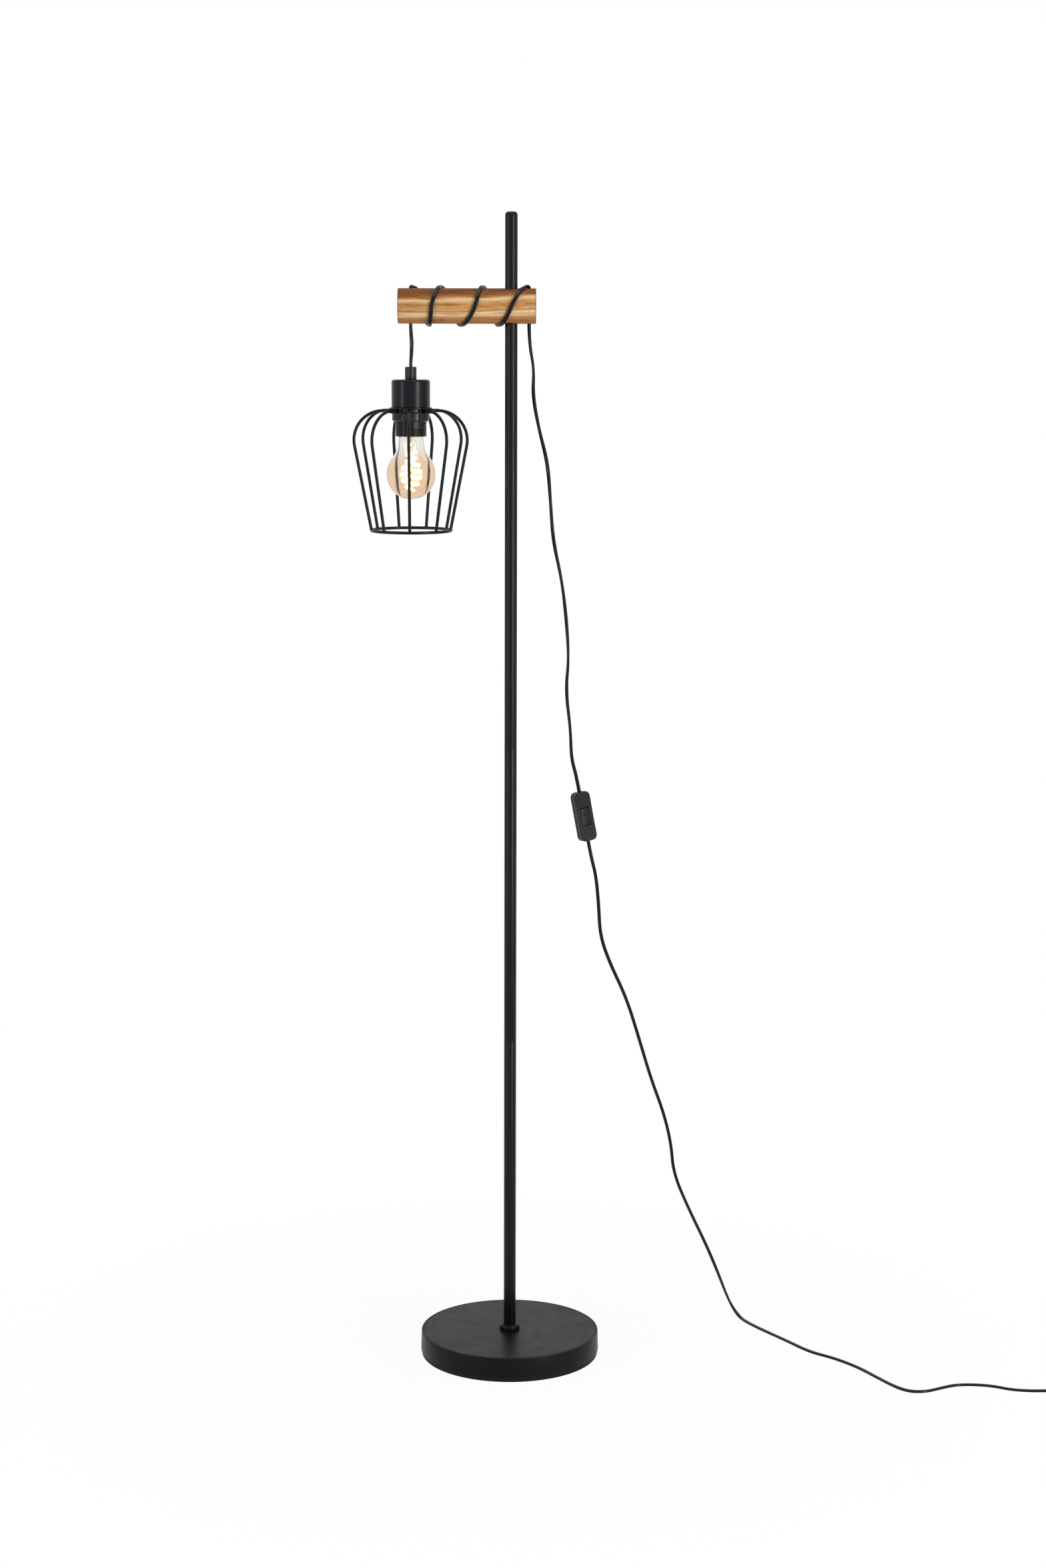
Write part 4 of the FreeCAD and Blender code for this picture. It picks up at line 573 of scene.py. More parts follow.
class FLOORLAMP_OT_flex(bpy.types.Operator):
    """Lay the flat twin flex: the drop, the winding on the beam, the lead and its coil"""

    bl_idname = "floor_lamp.flex"
    bl_label = "Flex"

    def execute(self, context):
        sizes = context.scene.lamp_sizes
        sheath = pvc_sheath(context.scene.lamp_colours)
        self.lay_drop(sizes, sheath)
        self.lay_winding(sizes, sheath)
        self.lay_lead(sizes, sheath)
        return {"FINISHED"}

    def lay_drop(self, sizes, sheath):
        line = read_spline("drop_line", [point[:3] for point in DROP_ROUTE])
        facings = lead_facings(line, DROP_ROUTE)
        # The tuple names the arm, the drop and the flex's top 18 mm; the piece is left on no body.
        bend = ("arm", "drop", (PENDANT_X, 0.0, BEAM.low.z), (PENDANT_X, 0.0, BEAM.low.z - 0.018))
        piece = flex_piece("drop_flex", line, facings, sizes, sheath, bend, ["flex_drop"])

    def lay_winding(self, sizes, sheath):
        """Up the hole, three times round the beam with the flat side on the wood, and down."""
        clearance, step, first, last_short = 0.0006, 22.5, 26.0, 22.0
        reach = BEAM_RADIUS + sizes.flex_thickness / 2.0 + clearance
        # A spline cuts the corners of its control points, so these lie a little further out.
        swell = 2.0 / (1.0 + math.cos(math.radians(step) / 2.0) ** 2)
        half_turns = [PENDANT_X, -0.1033, -0.0898, -0.0634, -0.0363, -0.0160, 0.0171]
        front_shift = {1: -0.0039, 3: 0.0049}
        stations = [(first, PENDANT_X + 0.0076)]
        for half, (west, east) in enumerate(zip(half_turns, half_turns[1:])):
            quarter = (west + east) / 2.0 + front_shift.get(half, 0.0)
            stations.append((90.0 + 180.0 * half, quarter))
            stations.append((180.0 + 180.0 * half, east))
        stations[-1] = (stations[-1][0] - last_short, LEAD_X - 0.0080)

        def along(angle):
            for (start, west), (end, east) in zip(stations, stations[1:]):
                if angle <= end:
                    share = (angle - start) / (end - start)
                    return west + (east - west) * share
            return stations[-1][1]

        def on_beam(angle, place):
            turn = math.radians(angle)
            height = BEAM_AXIS + reach * swell * math.cos(turn)
            return Vector((place, reach * swell * math.sin(turn), height))

        hole_top = BEAM_AXIS + reach
        controls = [
            Vector((PENDANT_X, 0.0, BEAM.low.z)), Vector((PENDANT_X, 0.0, BEAM_AXIS)),
            Vector((PENDANT_X, 0.0, hole_top - 0.0035)),
            Vector((PENDANT_X + 0.0012, 0.0018, hole_top + 0.0008))
        ]
        angle = stations[0][0]
        while angle < stations[-1][0]:
            controls.append(on_beam(angle, along(angle)))
            angle += step
        controls += [
            on_beam(stations[-1][0], stations[-1][1]),
            Vector((LEAD_X - 0.0012, -0.0018, hole_top + 0.0008)),
            Vector((LEAD_X, 0.0, hole_top - 0.0035)), Vector((LEAD_X, 0.0, BEAM_AXIS)),
            Vector((LEAD_X, 0.0, BEAM.low.z))
        ]
        line = read_spline("winding_line", controls)
        facings = []
        hole_zone = 0.0086
        holes = (
            # place, side that the flex leaves to, the way it faces at the hole's lower end
            (PENDANT_X, -1.0, Vector((-0.866, -0.5, 0.0))),
            (LEAD_X, 1.0, Vector((0.643, 0.766, 0.0))),
        )
        for point in line:
            facing = Vector((0.0, point.y, point.z - BEAM_AXIS))
            for hole_x, side, low_facing in holes:
                beside = abs(point.x - hole_x) > hole_zone
                if beside or point.z < BEAM_AXIS and abs(point.y) > 0.001:
                    continue
                share = (point.z - BEAM.low.z) / (BEAM_RADIUS * 2.0)
                if abs(point.y) < 0.0006 and share < 0.9:
                    facing = low_facing.lerp(Vector((0.0, side, 0.0)), min(share * 1.1, 1.0))
                elif abs(point.y) < 0.011:
                    facing = Vector((0.0, side, 1.0))
            facings.append(facing.normalized())
        facings = eased(facings, 5)
        flex_piece("winding_flex", line, facings, sizes, sheath, "arm", ["flex_wraps"])

    def lay_lead(self, sizes, sheath):
        line = read_spline("upper_line", [point[:3] for point in UPPER_ROUTE])
        facings = lead_facings(line, UPPER_ROUTE)
        # The tuple names the arm, the stand, the lead's top and a point half way to the switch; the
        # piece is left on no body.
        bend = ("arm", "stand", (LEAD_X, 0.0, BEAM.low.z), (LEAD_X, 0.0, 1.06))
        flex_piece("upper_flex", line, facings, sizes, sheath, bend, ["lead_upper"])
        entry = Vector((Extent("lead_lower").high.x, LOWER_ROUTE[-1][1], FLOOR_LEVEL))
        turns, centre = coil_route(entry + Vector((sizes.flex_width, 0.0, 0.0)))
        route = [Vector(point[:3]) for point in LOWER_ROUTE] + [entry] + turns
        line = read_spline("lower_line", route)
        flat_part = [*LOWER_ROUTE, (*entry, 90.0)]
        facings = eased(lead_facings(line, flat_part), 5)
        # Past the entry the flex turns up on its edge within a few millimetres.
        turn_length, first_layer = 0.006, 0.0035
        for number, point in enumerate(line):
            if point.x > entry.x:
                outward = Vector((point.x - centre.x, point.y - centre.y, 0.0))
                share = 1.0
                if point.z < first_layer:
                    share = min((point.x - entry.x) / turn_length, 1.0)
                facings[number] = facings[number].lerp(outward.normalized(), share * 0.999)
        lower = flex_piece(
            "lower_flex", line, facings, sizes, sheath, "stand", ["lead_lower", "lead_coil"]
        )


# ---- stage


class FLOORLAMP_OT_stage(bpy.types.Operator):
    """Set up the pale floor, the soft studio light and the camera"""

    bl_idname = "floor_lamp.stage"
    bl_label = "Stage"

    CAMERA_PLACE = (0.016155, -3.73128, 1.34418)
    CAMERA_TILT = 8.7908
    CAMERA_ROLL = 0.1287
    CAMERA_LENS = 66.878

    def execute(self, context):
        self.make_camera(context)
        self.make_floor(context)
        self.make_lights(context)
        context.scene.view_settings.view_transform = "Standard"
        return {"FINISHED"}

    def make_camera(self, context):
        data = bpy.data.cameras.new("camera")
        data.sensor_fit = "VERTICAL"
        data.sensor_height = 36.0
        data.lens = self.CAMERA_LENS
        data.clip_end = 50.0
        camera = bpy.data.objects.new("camera", data)
        turn = Matrix.Rotation(math.radians(90.0 - self.CAMERA_TILT), 4, "X")
        roll = Matrix.Rotation(math.radians(self.CAMERA_ROLL), 4, "Z")
        camera.matrix_world = Matrix.Translation(self.CAMERA_PLACE) @ turn @ roll
        context.scene.collection.objects.link(camera)
        context.scene.camera = camera

    def make_floor(self, context):
        form = bmesh.new()
        bmesh.ops.create_circle(form, cap_ends=True, segments=64, radius=14.0)
        mesh = made_mesh("floor", form)
        floor = bpy.data.objects.new("floor", mesh)
        context.scene.collection.objects.link(floor)
        # Pale paper sweep: it burns out to white, and keeps only the lamp's soft shadow.
        material = bpy.data.materials.new("studio_floor")
        material.use_nodes = True
        tree = material.node_tree
        tree.nodes.clear()
        paint = add_node(tree, "BsdfDiffuse", {"Color": context.scene.lamp_colours.stage})
        white = add_node(tree, "Emission", {"Strength": 1.0})
        # White as seen, with a soft contact shadow that fades out a metre from the lamp.
        source = add_node(tree, "TexCoord", {})
        away = add_node(tree, "VectorMath", {"Vector": source["Object"]}, operation="LENGTH")
        white_share = add_node(
            tree, "MapRange",
            {
                "From Min": 0.13, "From Max": 0.8, "To Min": 0.94, "To Max": 1.0,
                "Value": away["Value"]
            },
            interpolation_type="SMOOTHSTEP"
        )
        share = add_node(
            tree, "Math", {0: seen_plainly(tree), 1: white_share["Result"]}, operation="MULTIPLY"
        )
        blend = add_node(
            tree, "MixShader", {0: share["Value"], 1: paint["BSDF"], 2: white["Emission"]}
        )
        add_node(tree, "OutputMaterial", {"Surface": blend["Shader"]})
        mesh.materials.append(material)

    def make_lights(self, context):
        world = bpy.data.worlds.new("studio")
        context.scene.world = world
        world.use_nodes = True
        tree = world.node_tree
        tree.nodes.clear()
        room = add_node(tree, "Background", {"Color": (1, 1, 1, 1), "Strength": 0.30})
        white = add_node(tree, "Background", {"Color": (1, 1, 1, 1), "Strength": 1.0})
        blend = add_node(
            tree, "MixShader",
            {0: seen_plainly(tree), 1: room["Background"], 2: white["Background"]}
        )
        add_node(tree, "OutputWorld", {"Surface": blend["Shader"]})
        softboxes = [
            # name, place, what it points at, width, height, watts
            ("key_right", (2.20, -2.40, 0.95), (0.0, 0.0, 0.80), 0.62, 2.9, 88.0),
            ("fill_left", (-2.66, -2.00, 0.95), (0.0, 0.0, 0.80), 0.5, 2.9, 34.0),
            ("overhead", (0.2, -0.4, 3.8), (0.0, 0.0, 0.6), 2.0, 2.0, 30.0),
        ]
        for name, place, target, width, height, watts in softboxes:
            data = bpy.data.lights.new(name, "AREA")
            data.shape = "RECTANGLE"
            data.size = width
            data.size_y = height
            data.energy = watts
            light = bpy.data.objects.new(name, data)
            light.location = place
            beam = Vector(target) - Vector(place)
            light.rotation_euler = beam.to_track_quat("-Z", "Y").to_euler()
            light.visible_camera = False
            context.scene.collection.objects.link(light)


# ---- base and pole


def powder_coat(sizes, colours):
    """Steel under a baked satin powder coat: fine orange peel, soft broad cool highlights."""
    return moulded_surface(
        "satin_powder_coat", colours.coat, 0.30, sizes.coat_grain, 0.000002, level=0.19,
        tint=(0.88, 0.90, 1.0, 1.0)
    )


class FLOORLAMP_OT_base(bpy.types.Operator):
    """Turn the base cover with its fine groove, the tray below it and the pole's collar"""

    bl_idname = "floor_lamp.base"
    bl_label = "Base"

    def execute(self, context):
        sizes = context.scene.lamp_sizes
        # The pole, the cup and the cage take this coat by its name.
        powder_coat(sizes, context.scene.lamp_colours)
        # The base has a matt, finely textured powder coat: a dull, even grey-black with no streaks.
        coat = moulded_surface(
            "matt_powder_coat", context.scene.lamp_colours.coat, 0.40, sizes.coat_grain, 0.000003,
            level=0.12
        )
        cover = Extent("base_cover")
        rim, top, low = cover.radius, cover.high.z, cover.low.z
        wall = 0.0012
        flare = 0.0008
        stud_hole, groove_depth = 0.0055, 0.0005
        groove = rim - 0.0032
        outline = [
            (stud_hole, top - wall), (rim - wall, top - wall), (rim - wall, low), (rim, low),
            (rim - flare, top), (groove, top), (groove - 0.0002, top - groove_depth),
            (groove - 0.0006, top - groove_depth), (groove - 0.0008, top), (stud_hole, top)
        ]
        rounds = {3: 0.0003, 4: 0.0011, 1: 0.0004}
        turned_piece(
            "base_shell", outline, rounds, coat, "stand", ["base_cover"], steps=192
        )
        tray = Extent("base_tray")
        tray_high, tray_wall, tray_floor = 0.012, 0.003, 0.0025
        # Black moulded ABS under the cover: dull, with a fine spark-eroded grain.
        moulded = moulded_surface("tray_abs", linear("0B0B0C"), 0.6, 0.0012, 0.00003, level=0.15)
        outline = [
            (0.0, 0.0), (tray.radius, 0.0), (tray.radius, tray_high),
            (tray.radius - tray_wall, tray_high), (tray.radius - tray_wall, tray_floor),
            (0.0, tray_floor)
        ]
        rounds = {1: 0.0009, 2: 0.0005, 3: 0.0005}
        turned_piece(
            "base_tray_skin", outline, rounds, moulded, "stand", ["base_tray"],
            steps=192
        )
        collar = Extent("pole_collar")
        outline = sleeve_outline(POLE.radius + 0.0001, collar)
        rounds = {1: 0.0003, 2: 0.0034, 3: 0.0003}
        turned_piece("collar_shell", outline, rounds, coat, "stand", ["pole_collar"])
        return {"FINISHED"}


class FLOORLAMP_OT_pole(bpy.types.Operator):
    """Turn the pole's four tubes and its domed cap"""

    bl_idname = "floor_lamp.pole"
    bl_label = "Pole"

    def execute(self, context):
        sizes = context.scene.lamp_sizes
        coat = bpy.data.materials["satin_powder_coat"]
        for place in ("lower", "second", "third", "upper"):
            tube = Extent("pole_tube_" + place)
            outline = sleeve_outline(tube.radius - TUBE_WALL, tube)
            rounds = {1: sizes.seam_bevel, 2: sizes.seam_bevel}
            turned_piece(
                "tube_" + place, outline, rounds, coat, "stand",
                ["pole_tube_" + place]
            )
        cap = Extent("pole_cap")
        tube_top = Extent("pole_tube_upper").high.z
        stem = POLE.radius - TUBE_WALL - 0.0001
        outline = [
            (0.0, cap.low.z), (stem, cap.low.z), (stem, tube_top), (POLE.radius, tube_top),
            (POLE.radius, cap.high.z), (0.0, cap.high.z)
        ]
        rounds = {3: 0.0003, 4: 0.0042}
        turned_piece("cap_shell", outline, rounds, coat, "stand", ["pole_cap"])
        return {"FINISHED"}


# ---- beam


# Knots on the beam's front: place along X, height over the axis, half length, half height.
KNOTS = ((-0.0871, -0.0175, 0.0032, 0.0013), (0.0193, 0.0026, 0.0024, 0.0007))
PATCH_TONES = [(0.32, "A8846A"), (0.42, "E8D8CA"), (0.50, "FFFFFF")]
STREAK_TONES = [(0.30, "AC9884"), (0.46, "F0EAE2"), (0.56, "FFFFFF"), (0.72, "ECDCC8")]
PORE_TONES = [(0.28, "7A5A40"), (0.37, "EEE6DE"), (0.45, "FFFFFF")]


def oiled_pine(sizes):
    """Pine turned along the grain and oiled: bands of growth rings, streaks, pores, two knots."""
    material, tree, shader = start_material(
        "oiled_pine", {"Roughness": 0.6, "Specular IOR Level": 0.12}
    )
    source = add_node(tree, "TexCoord", {})
    # The growth rings run along the beam, round a heart that lies 60 mm below its axis.
    heart = add_node(
        tree, "Mapping", {"Location": (0.0, 0.0, 0.060 - BEAM_AXIS), "Vector": source["Object"]}
    )
    # The rings sway by a few millimetres over each 70 mm of length.
    sway = add_node(
        tree, "TexNoise",
        {
            "Scale": 1.0, "Detail": 2.0, "Roughness": 0.5,
            "Vector": pattern_place(tree, (0.070, 0.022, 0.022))
        }
    )
    parts = add_node(tree, "SeparateXYZ", {"Vector": heart["Vector"]})
    flat = add_node(tree, "CombineXYZ", {"Y": parts["Y"], "Z": parts["Z"]})
    reach = add_node(tree, "VectorMath", {"Vector": flat["Vector"]}, operation="LENGTH")
    climb = add_node(
        tree, "Math", {0: parts["X"], 1: -0.026, 2: reach["Value"]}, operation="MULTIPLY_ADD"
    )
    swayed = add_node(
        tree, "Math", {0: sway["Fac"], 1: 0.006, 2: climb["Value"]}, operation="MULTIPLY_ADD"
    )
    ring = add_node(
        tree, "MapRange", {"From Min": 0.0405, "From Max": 0.0885, "Value": swayed["Value"]}
    )
    bands = add_node(
        tree, "ValToRGB", {"Fac": ring["Result"]},
        [
            (0.00, "A06A40"), (0.12, "AE7A4A"), (0.24, "B07C4E"), (0.285, "C89E70"),
            (0.32, "DEC096"), (0.40, "E0C49C"), (0.435, "D0AA7C"), (0.46, "AE7846"),
            (0.49, "CCA06A"), (0.57, "C4945C"), (0.65, "C69862"), (0.69, "CEA676"),
            (0.735, "E2C498"), (0.765, "CCA474"), (0.79, "A8743E"), (0.83, "925C2E"),
            (0.88, "84502A"), (0.94, "7A4826"), (1.00, "8C6038")
        ]
    )
    wood = bands["Color"]
    layers = (
        # length and width of the marks, detail, roughness, strength, tones
        # Streaky patches, browner than the wood round them.
        (0.045, 0.004, 4.0, 0.6, 0.7, PATCH_TONES),
        # Streaks along the grain.
        (0.034, sizes.grain_spacing, 4.0, 0.65, 0.6, STREAK_TONES),
        # Pores.
        (0.006, 0.0005, 2.0, 0.5, 0.6, PORE_TONES),
    )
    for long, wide, detail, rough, factor, stops in layers:
        marks = add_node(
            tree, "TexNoise",
            {
                "Scale": 1.0, "Detail": detail, "Roughness": rough,
                "Vector": pattern_place(tree, (long, wide, wide))
            }
        )
        if stops is STREAK_TONES:
            streaks = marks["Fac"]
        tone = add_node(tree, "ValToRGB", {"Fac": marks["Fac"]}, stops)
        darker = add_node(
            tree, "Mix", {"Factor": factor, "A": wood, "B": tone["Color"]}, data_type="RGBA",
            blend_type="MULTIPLY"
        )
        wood = darker["Result"]
    # The edges of both ends are scorched by the saw.
    half = (BEAM.high.x - BEAM.low.x) / 2.0
    object_parts = add_node(tree, "SeparateXYZ", {"Vector": source["Object"]})
    from_middle = add_node(
        tree, "Math", {0: object_parts["X"], 1: BEAM.middle.x}, operation="SUBTRACT"
    )
    end_reach = add_node(tree, "Math", {0: from_middle["Value"]}, operation="ABSOLUTE")
    scorch = add_node(
        tree, "MapRange",
        {
            "From Min": half - 0.0016, "From Max": half - 0.0002, "To Min": 0.0, "To Max": 0.75,
            "Value": end_reach["Value"]
        },
        interpolation_type="SMOOTHSTEP"
    )
    burn = scorch["Result"]
    for place, height, half_long, half_high in KNOTS:
        knot_place = add_node(
            tree, "Mapping",
            {
                "Location": (-place / half_long, 0.0, -(BEAM_AXIS + height) / half_high),
                "Scale": (1.0 / half_long, 1.0 / 0.05, 1.0 / half_high), "Vector": source["Object"]
            }
        )
        knot = add_node(tree, "VectorMath", {"Vector": knot_place["Vector"]}, operation="LENGTH")
        knot_tone = add_node(
            tree, "MapRange",
            {
                "From Min": 1.1, "From Max": 0.5, "To Min": 0.0, "To Max": 0.6,
                "Value": knot["Value"]
            },
            interpolation_type="SMOOTHSTEP"
        )
        deeper = add_node(tree, "Math", {0: burn, 1: knot_tone["Result"]}, operation="MAXIMUM")
        burn = deeper["Value"]
    burnt = add_node(
        tree, "Mix", {"B": linear("4A2A18"), "Factor": burn, "A": wood}, data_type="RGBA",
        blend_type="MIX"
    )
    tree.links.new(burnt["Result"], shader.inputs["Base Color"])
    relief = add_node(tree, "Bump", {"Strength": 0.4, "Distance": 0.00003, "Height": streaks})
    tree.links.new(relief["Normal"], shader.inputs["Normal"])
    gloss = add_node(tree, "MapRange", {"To Min": 0.52, "To Max": 0.68, "Value": streaks})
    tree.links.new(gloss["Result"], shader.inputs["Roughness"])
    return material


class FLOORLAMP_OT_beam(bpy.types.Operator):
    """Turn the wooden beam, bore it for the pole, the flex and the set screw, and oil it"""

    bl_idname = "floor_lamp.beam"
    bl_label = "Beam"

    def execute(self, context):
        length = BEAM.high.x - BEAM.low.x
        lying = Matrix.Translation(BEAM.middle) @ Matrix.Rotation(math.pi / 2.0, 4, "Y")
        bar = rod(BEAM_RADIUS, length, lying, segments=128)
        rims = [
            edge
            for edge in bar.edges
            if abs((edge.verts[0].co - edge.verts[1].co).x) < 1e-7 and len(edge.link_faces) == 2
        ]
        rim_round = 0.0012
        bevel(bar, rims, rim_round, 4)
        across = BEAM_RADIUS * 2.0 + 0.004
        bores = []
        for place, radius in (
            (0.0, POLE.radius + 0.0001), (PENDANT_X, FLEX_HOLE), (LEAD_X, FLEX_HOLE)
        ):
            bores.append(rod(radius, across, Matrix.Translation((place, 0.0, BEAM_AXIS))))
        seat = Extent("screw_insert")
        backward = Matrix.Rotation(-math.pi / 2.0, 4, "X")
        seat_middle = Vector((0.0, seat.low.y + BEAM_RADIUS / 2.0, BEAM_AXIS))
        bores.append(rod(seat.radius, BEAM_RADIUS, Matrix.Translation(seat_middle) @ backward))
        mesh = carved_mesh(bar, *bores)
        pine = oiled_pine(context.scene.lamp_sizes)
        mesh_piece("beam_wood", mesh, pine, "arm", ["arm_beam"], sharp=40.0)
        return {"FINISHED"}


# ---- lampholder and cup


class FLOORLAMP_OT_holder(bpy.types.Operator):
    """Mould the cord grip, the lampholder with its thread and the shade ring, and press the cup"""

    bl_idname = "floor_lamp.holder"
    bl_label = "Lampholder"

    RING_NOTCHES = 12
    NOTCH_START = 28.0

    def execute(self, context):
        colours = context.scene.lamp_colours
        coat = bpy.data.materials["satin_powder_coat"]
        # Glass-filled PBT, moulded in a polished tool: black, a little waxy, crisp highlights.
        pbt = moulded_surface("moulded_pbt", colours.holder, 0.33, 0.0006, 0.000006, level=0.3)
        centre = Vector((PENDANT_X, 0.0, 0.0))
        grip = Extent("cord_grip")
        pinch, bore, mouth, nipple = 0.0024, 0.0027, 0.0040, 0.00495
        nipple_low = CUP.high.z - 0.0075
        outline = [
            (pinch, nipple_low), (nipple, nipple_low), (nipple, CUP.high.z),
            (grip.radius, CUP.high.z), (grip.radius, grip.high.z), (mouth, grip.high.z),
            (bore, grip.high.z - 0.0030), (bore, CUP.high.z + 0.004), (pinch, CUP.high.z + 0.004)
        ]
        rounds = {3: 0.0004, 4: 0.0014, 5: 0.0005}
        turned_piece(
            "grip_moulding", outline, rounds, pbt, "pendant", ["cord_grip"],
            centre
        )
        wall = 0.001
        outline = [
            (0.005, CUP.high.z - wall), (CUP.radius - wall, CUP.high.z - wall),
            (CUP.radius - wall, CUP.low.z), (CUP.radius, CUP.low.z), (CUP.radius, CUP.high.z),
            (0.005, CUP.high.z)
        ]
        rounds = {1: 0.0022, 3: 0.0004, 4: 0.0030}
        turned_piece(
            "cup_shell", outline, rounds, coat, "pendant", ["socket_cup"], centre, 128
        )
        self.mould_ring(pbt, centre)
        self.mould_skirt(pbt, centre)
        return {"FINISHED"}

    def mould_ring(self, pbt, centre):
        """The shade ring: turned, bevelled below, with finger notches pressed into its side."""
        ring = Extent("shade_ring")
        bore = 0.0203
        chamfer, lip = 0.0016, 0.0006
        form = bmesh.new()
        outline = [
            (bore, ring.low.z), (ring.radius - chamfer, ring.low.z),
            (ring.radius, ring.low.z + chamfer), (ring.radius, ring.high.z - lip),
            (ring.radius, ring.high.z), (bore, ring.high.z)
        ]
        steps = self.RING_NOTCHES * 14
        spin_outline(form, outline, centre, {}, steps)
        pitch = 360.0 / self.RING_NOTCHES
        notch_depth, notch_half_angle = 0.0011, 2.7
        chosen = []
        for face in form.faces:
            middle = face.calc_center_median() - centre
            outward = Vector((middle.x, middle.y)).length > ring.radius - 0.0002
            if not outward or abs(face.normal.z) > 0.3:
                continue
            angle = (math.degrees(math.atan2(middle.y, middle.x)) - self.NOTCH_START) % pitch
            if min(angle, pitch - angle) < notch_half_angle and middle.z < ring.high.z - lip:
                chosen.append(face)
        grown = bmesh.ops.extrude_face_region(form, geom=chosen)["geom"]
        bmesh.ops.delete(form, geom=chosen, context="FACES_ONLY")
        share = 1.0 - notch_depth / ring.radius
        inward = (share, share, 1.0)
        bmesh.ops.scale(
            form, vec=inward, verts=only(Vert, grown), space=Matrix.Translation(-centre)
        )
        face_out(form)
        bmesh_piece("ring_moulding", form, pbt, "pendant", ["shade_ring"], 25.0)

    def mould_skirt(self, pbt, centre):
        """The lampholder's body: flange, threaded skirt with rounded mouth, stepped bore."""
        body = Extent("lampholder_body")
        plate = PLATE_UPPER.high.z
        low = body.low.z
        crest, depth, pitch = 0.0202, 0.0009, 0.0025
        bore, rib, flange, shell = 0.0178, 0.0145, 0.0225, 0.0204
        flange_high = plate + 0.002
        rib_low = low + 0.008
        outline = [(bore, low), (crest - depth, low), (crest, low + depth)]
        for turn in range(7):
            level = low + depth + pitch * (turn + 0.3)
            outline += [
                (crest, level), (crest - depth, level + pitch * 0.25),
                (crest - depth, level + pitch * 0.45), (crest, level + pitch * 0.7)
            ]
        insert_low = Extent("lampholder_insert").low.z
        outline += [
            (crest, plate), (flange, plate), (flange, flange_high), (shell, flange_high),
            (shell, body.high.z), (bore, body.high.z), (bore, insert_low), (rib, insert_low),
            (rib, rib_low), (bore, rib_low)
        ]
        form = bmesh.new()
        spin_outline(form, outline, centre, {0: 0.0004, 1: 0.0005}, 128)
        bmesh_piece(
            "skirt_moulding", form, pbt, "pendant", ["lampholder_body"], 25.0
        )
        # A smooth latch panel interrupts the thread to the right of the front wire.
        panel = bmesh.new()
        panel_low, panel_high = low + 0.0104, low + 0.0188
        corners = [
            (crest - 0.0004, panel_low), (crest + 0.0001, panel_low), (crest + 0.0001, panel_high),
            (crest - 0.0004, panel_high)
        ]
        start = Matrix.Translation(centre) @ Matrix.Rotation(math.radians(-82.0), 4, "Z")
        ring = [panel.verts.new(start @ Vector((reach, 0.0, level))) for reach, level in corners]
        edges = [panel.edges.new(pair) for pair in zip(ring, ring[1:] + ring[:1])]
        panel.faces.new(ring)
        spun = bmesh.ops.spin(
            panel, geom=edges, cent=centre, axis=PLUMB, angle=math.radians(38.0), steps=12
        )["geom_last"]
        bmesh.ops.contextual_create(panel, geom=only(Edge, spun))
        face_out(panel)
        bmesh_piece("latch_panel", panel, pbt, "pendant", sharp=30.0)


# ---- cage


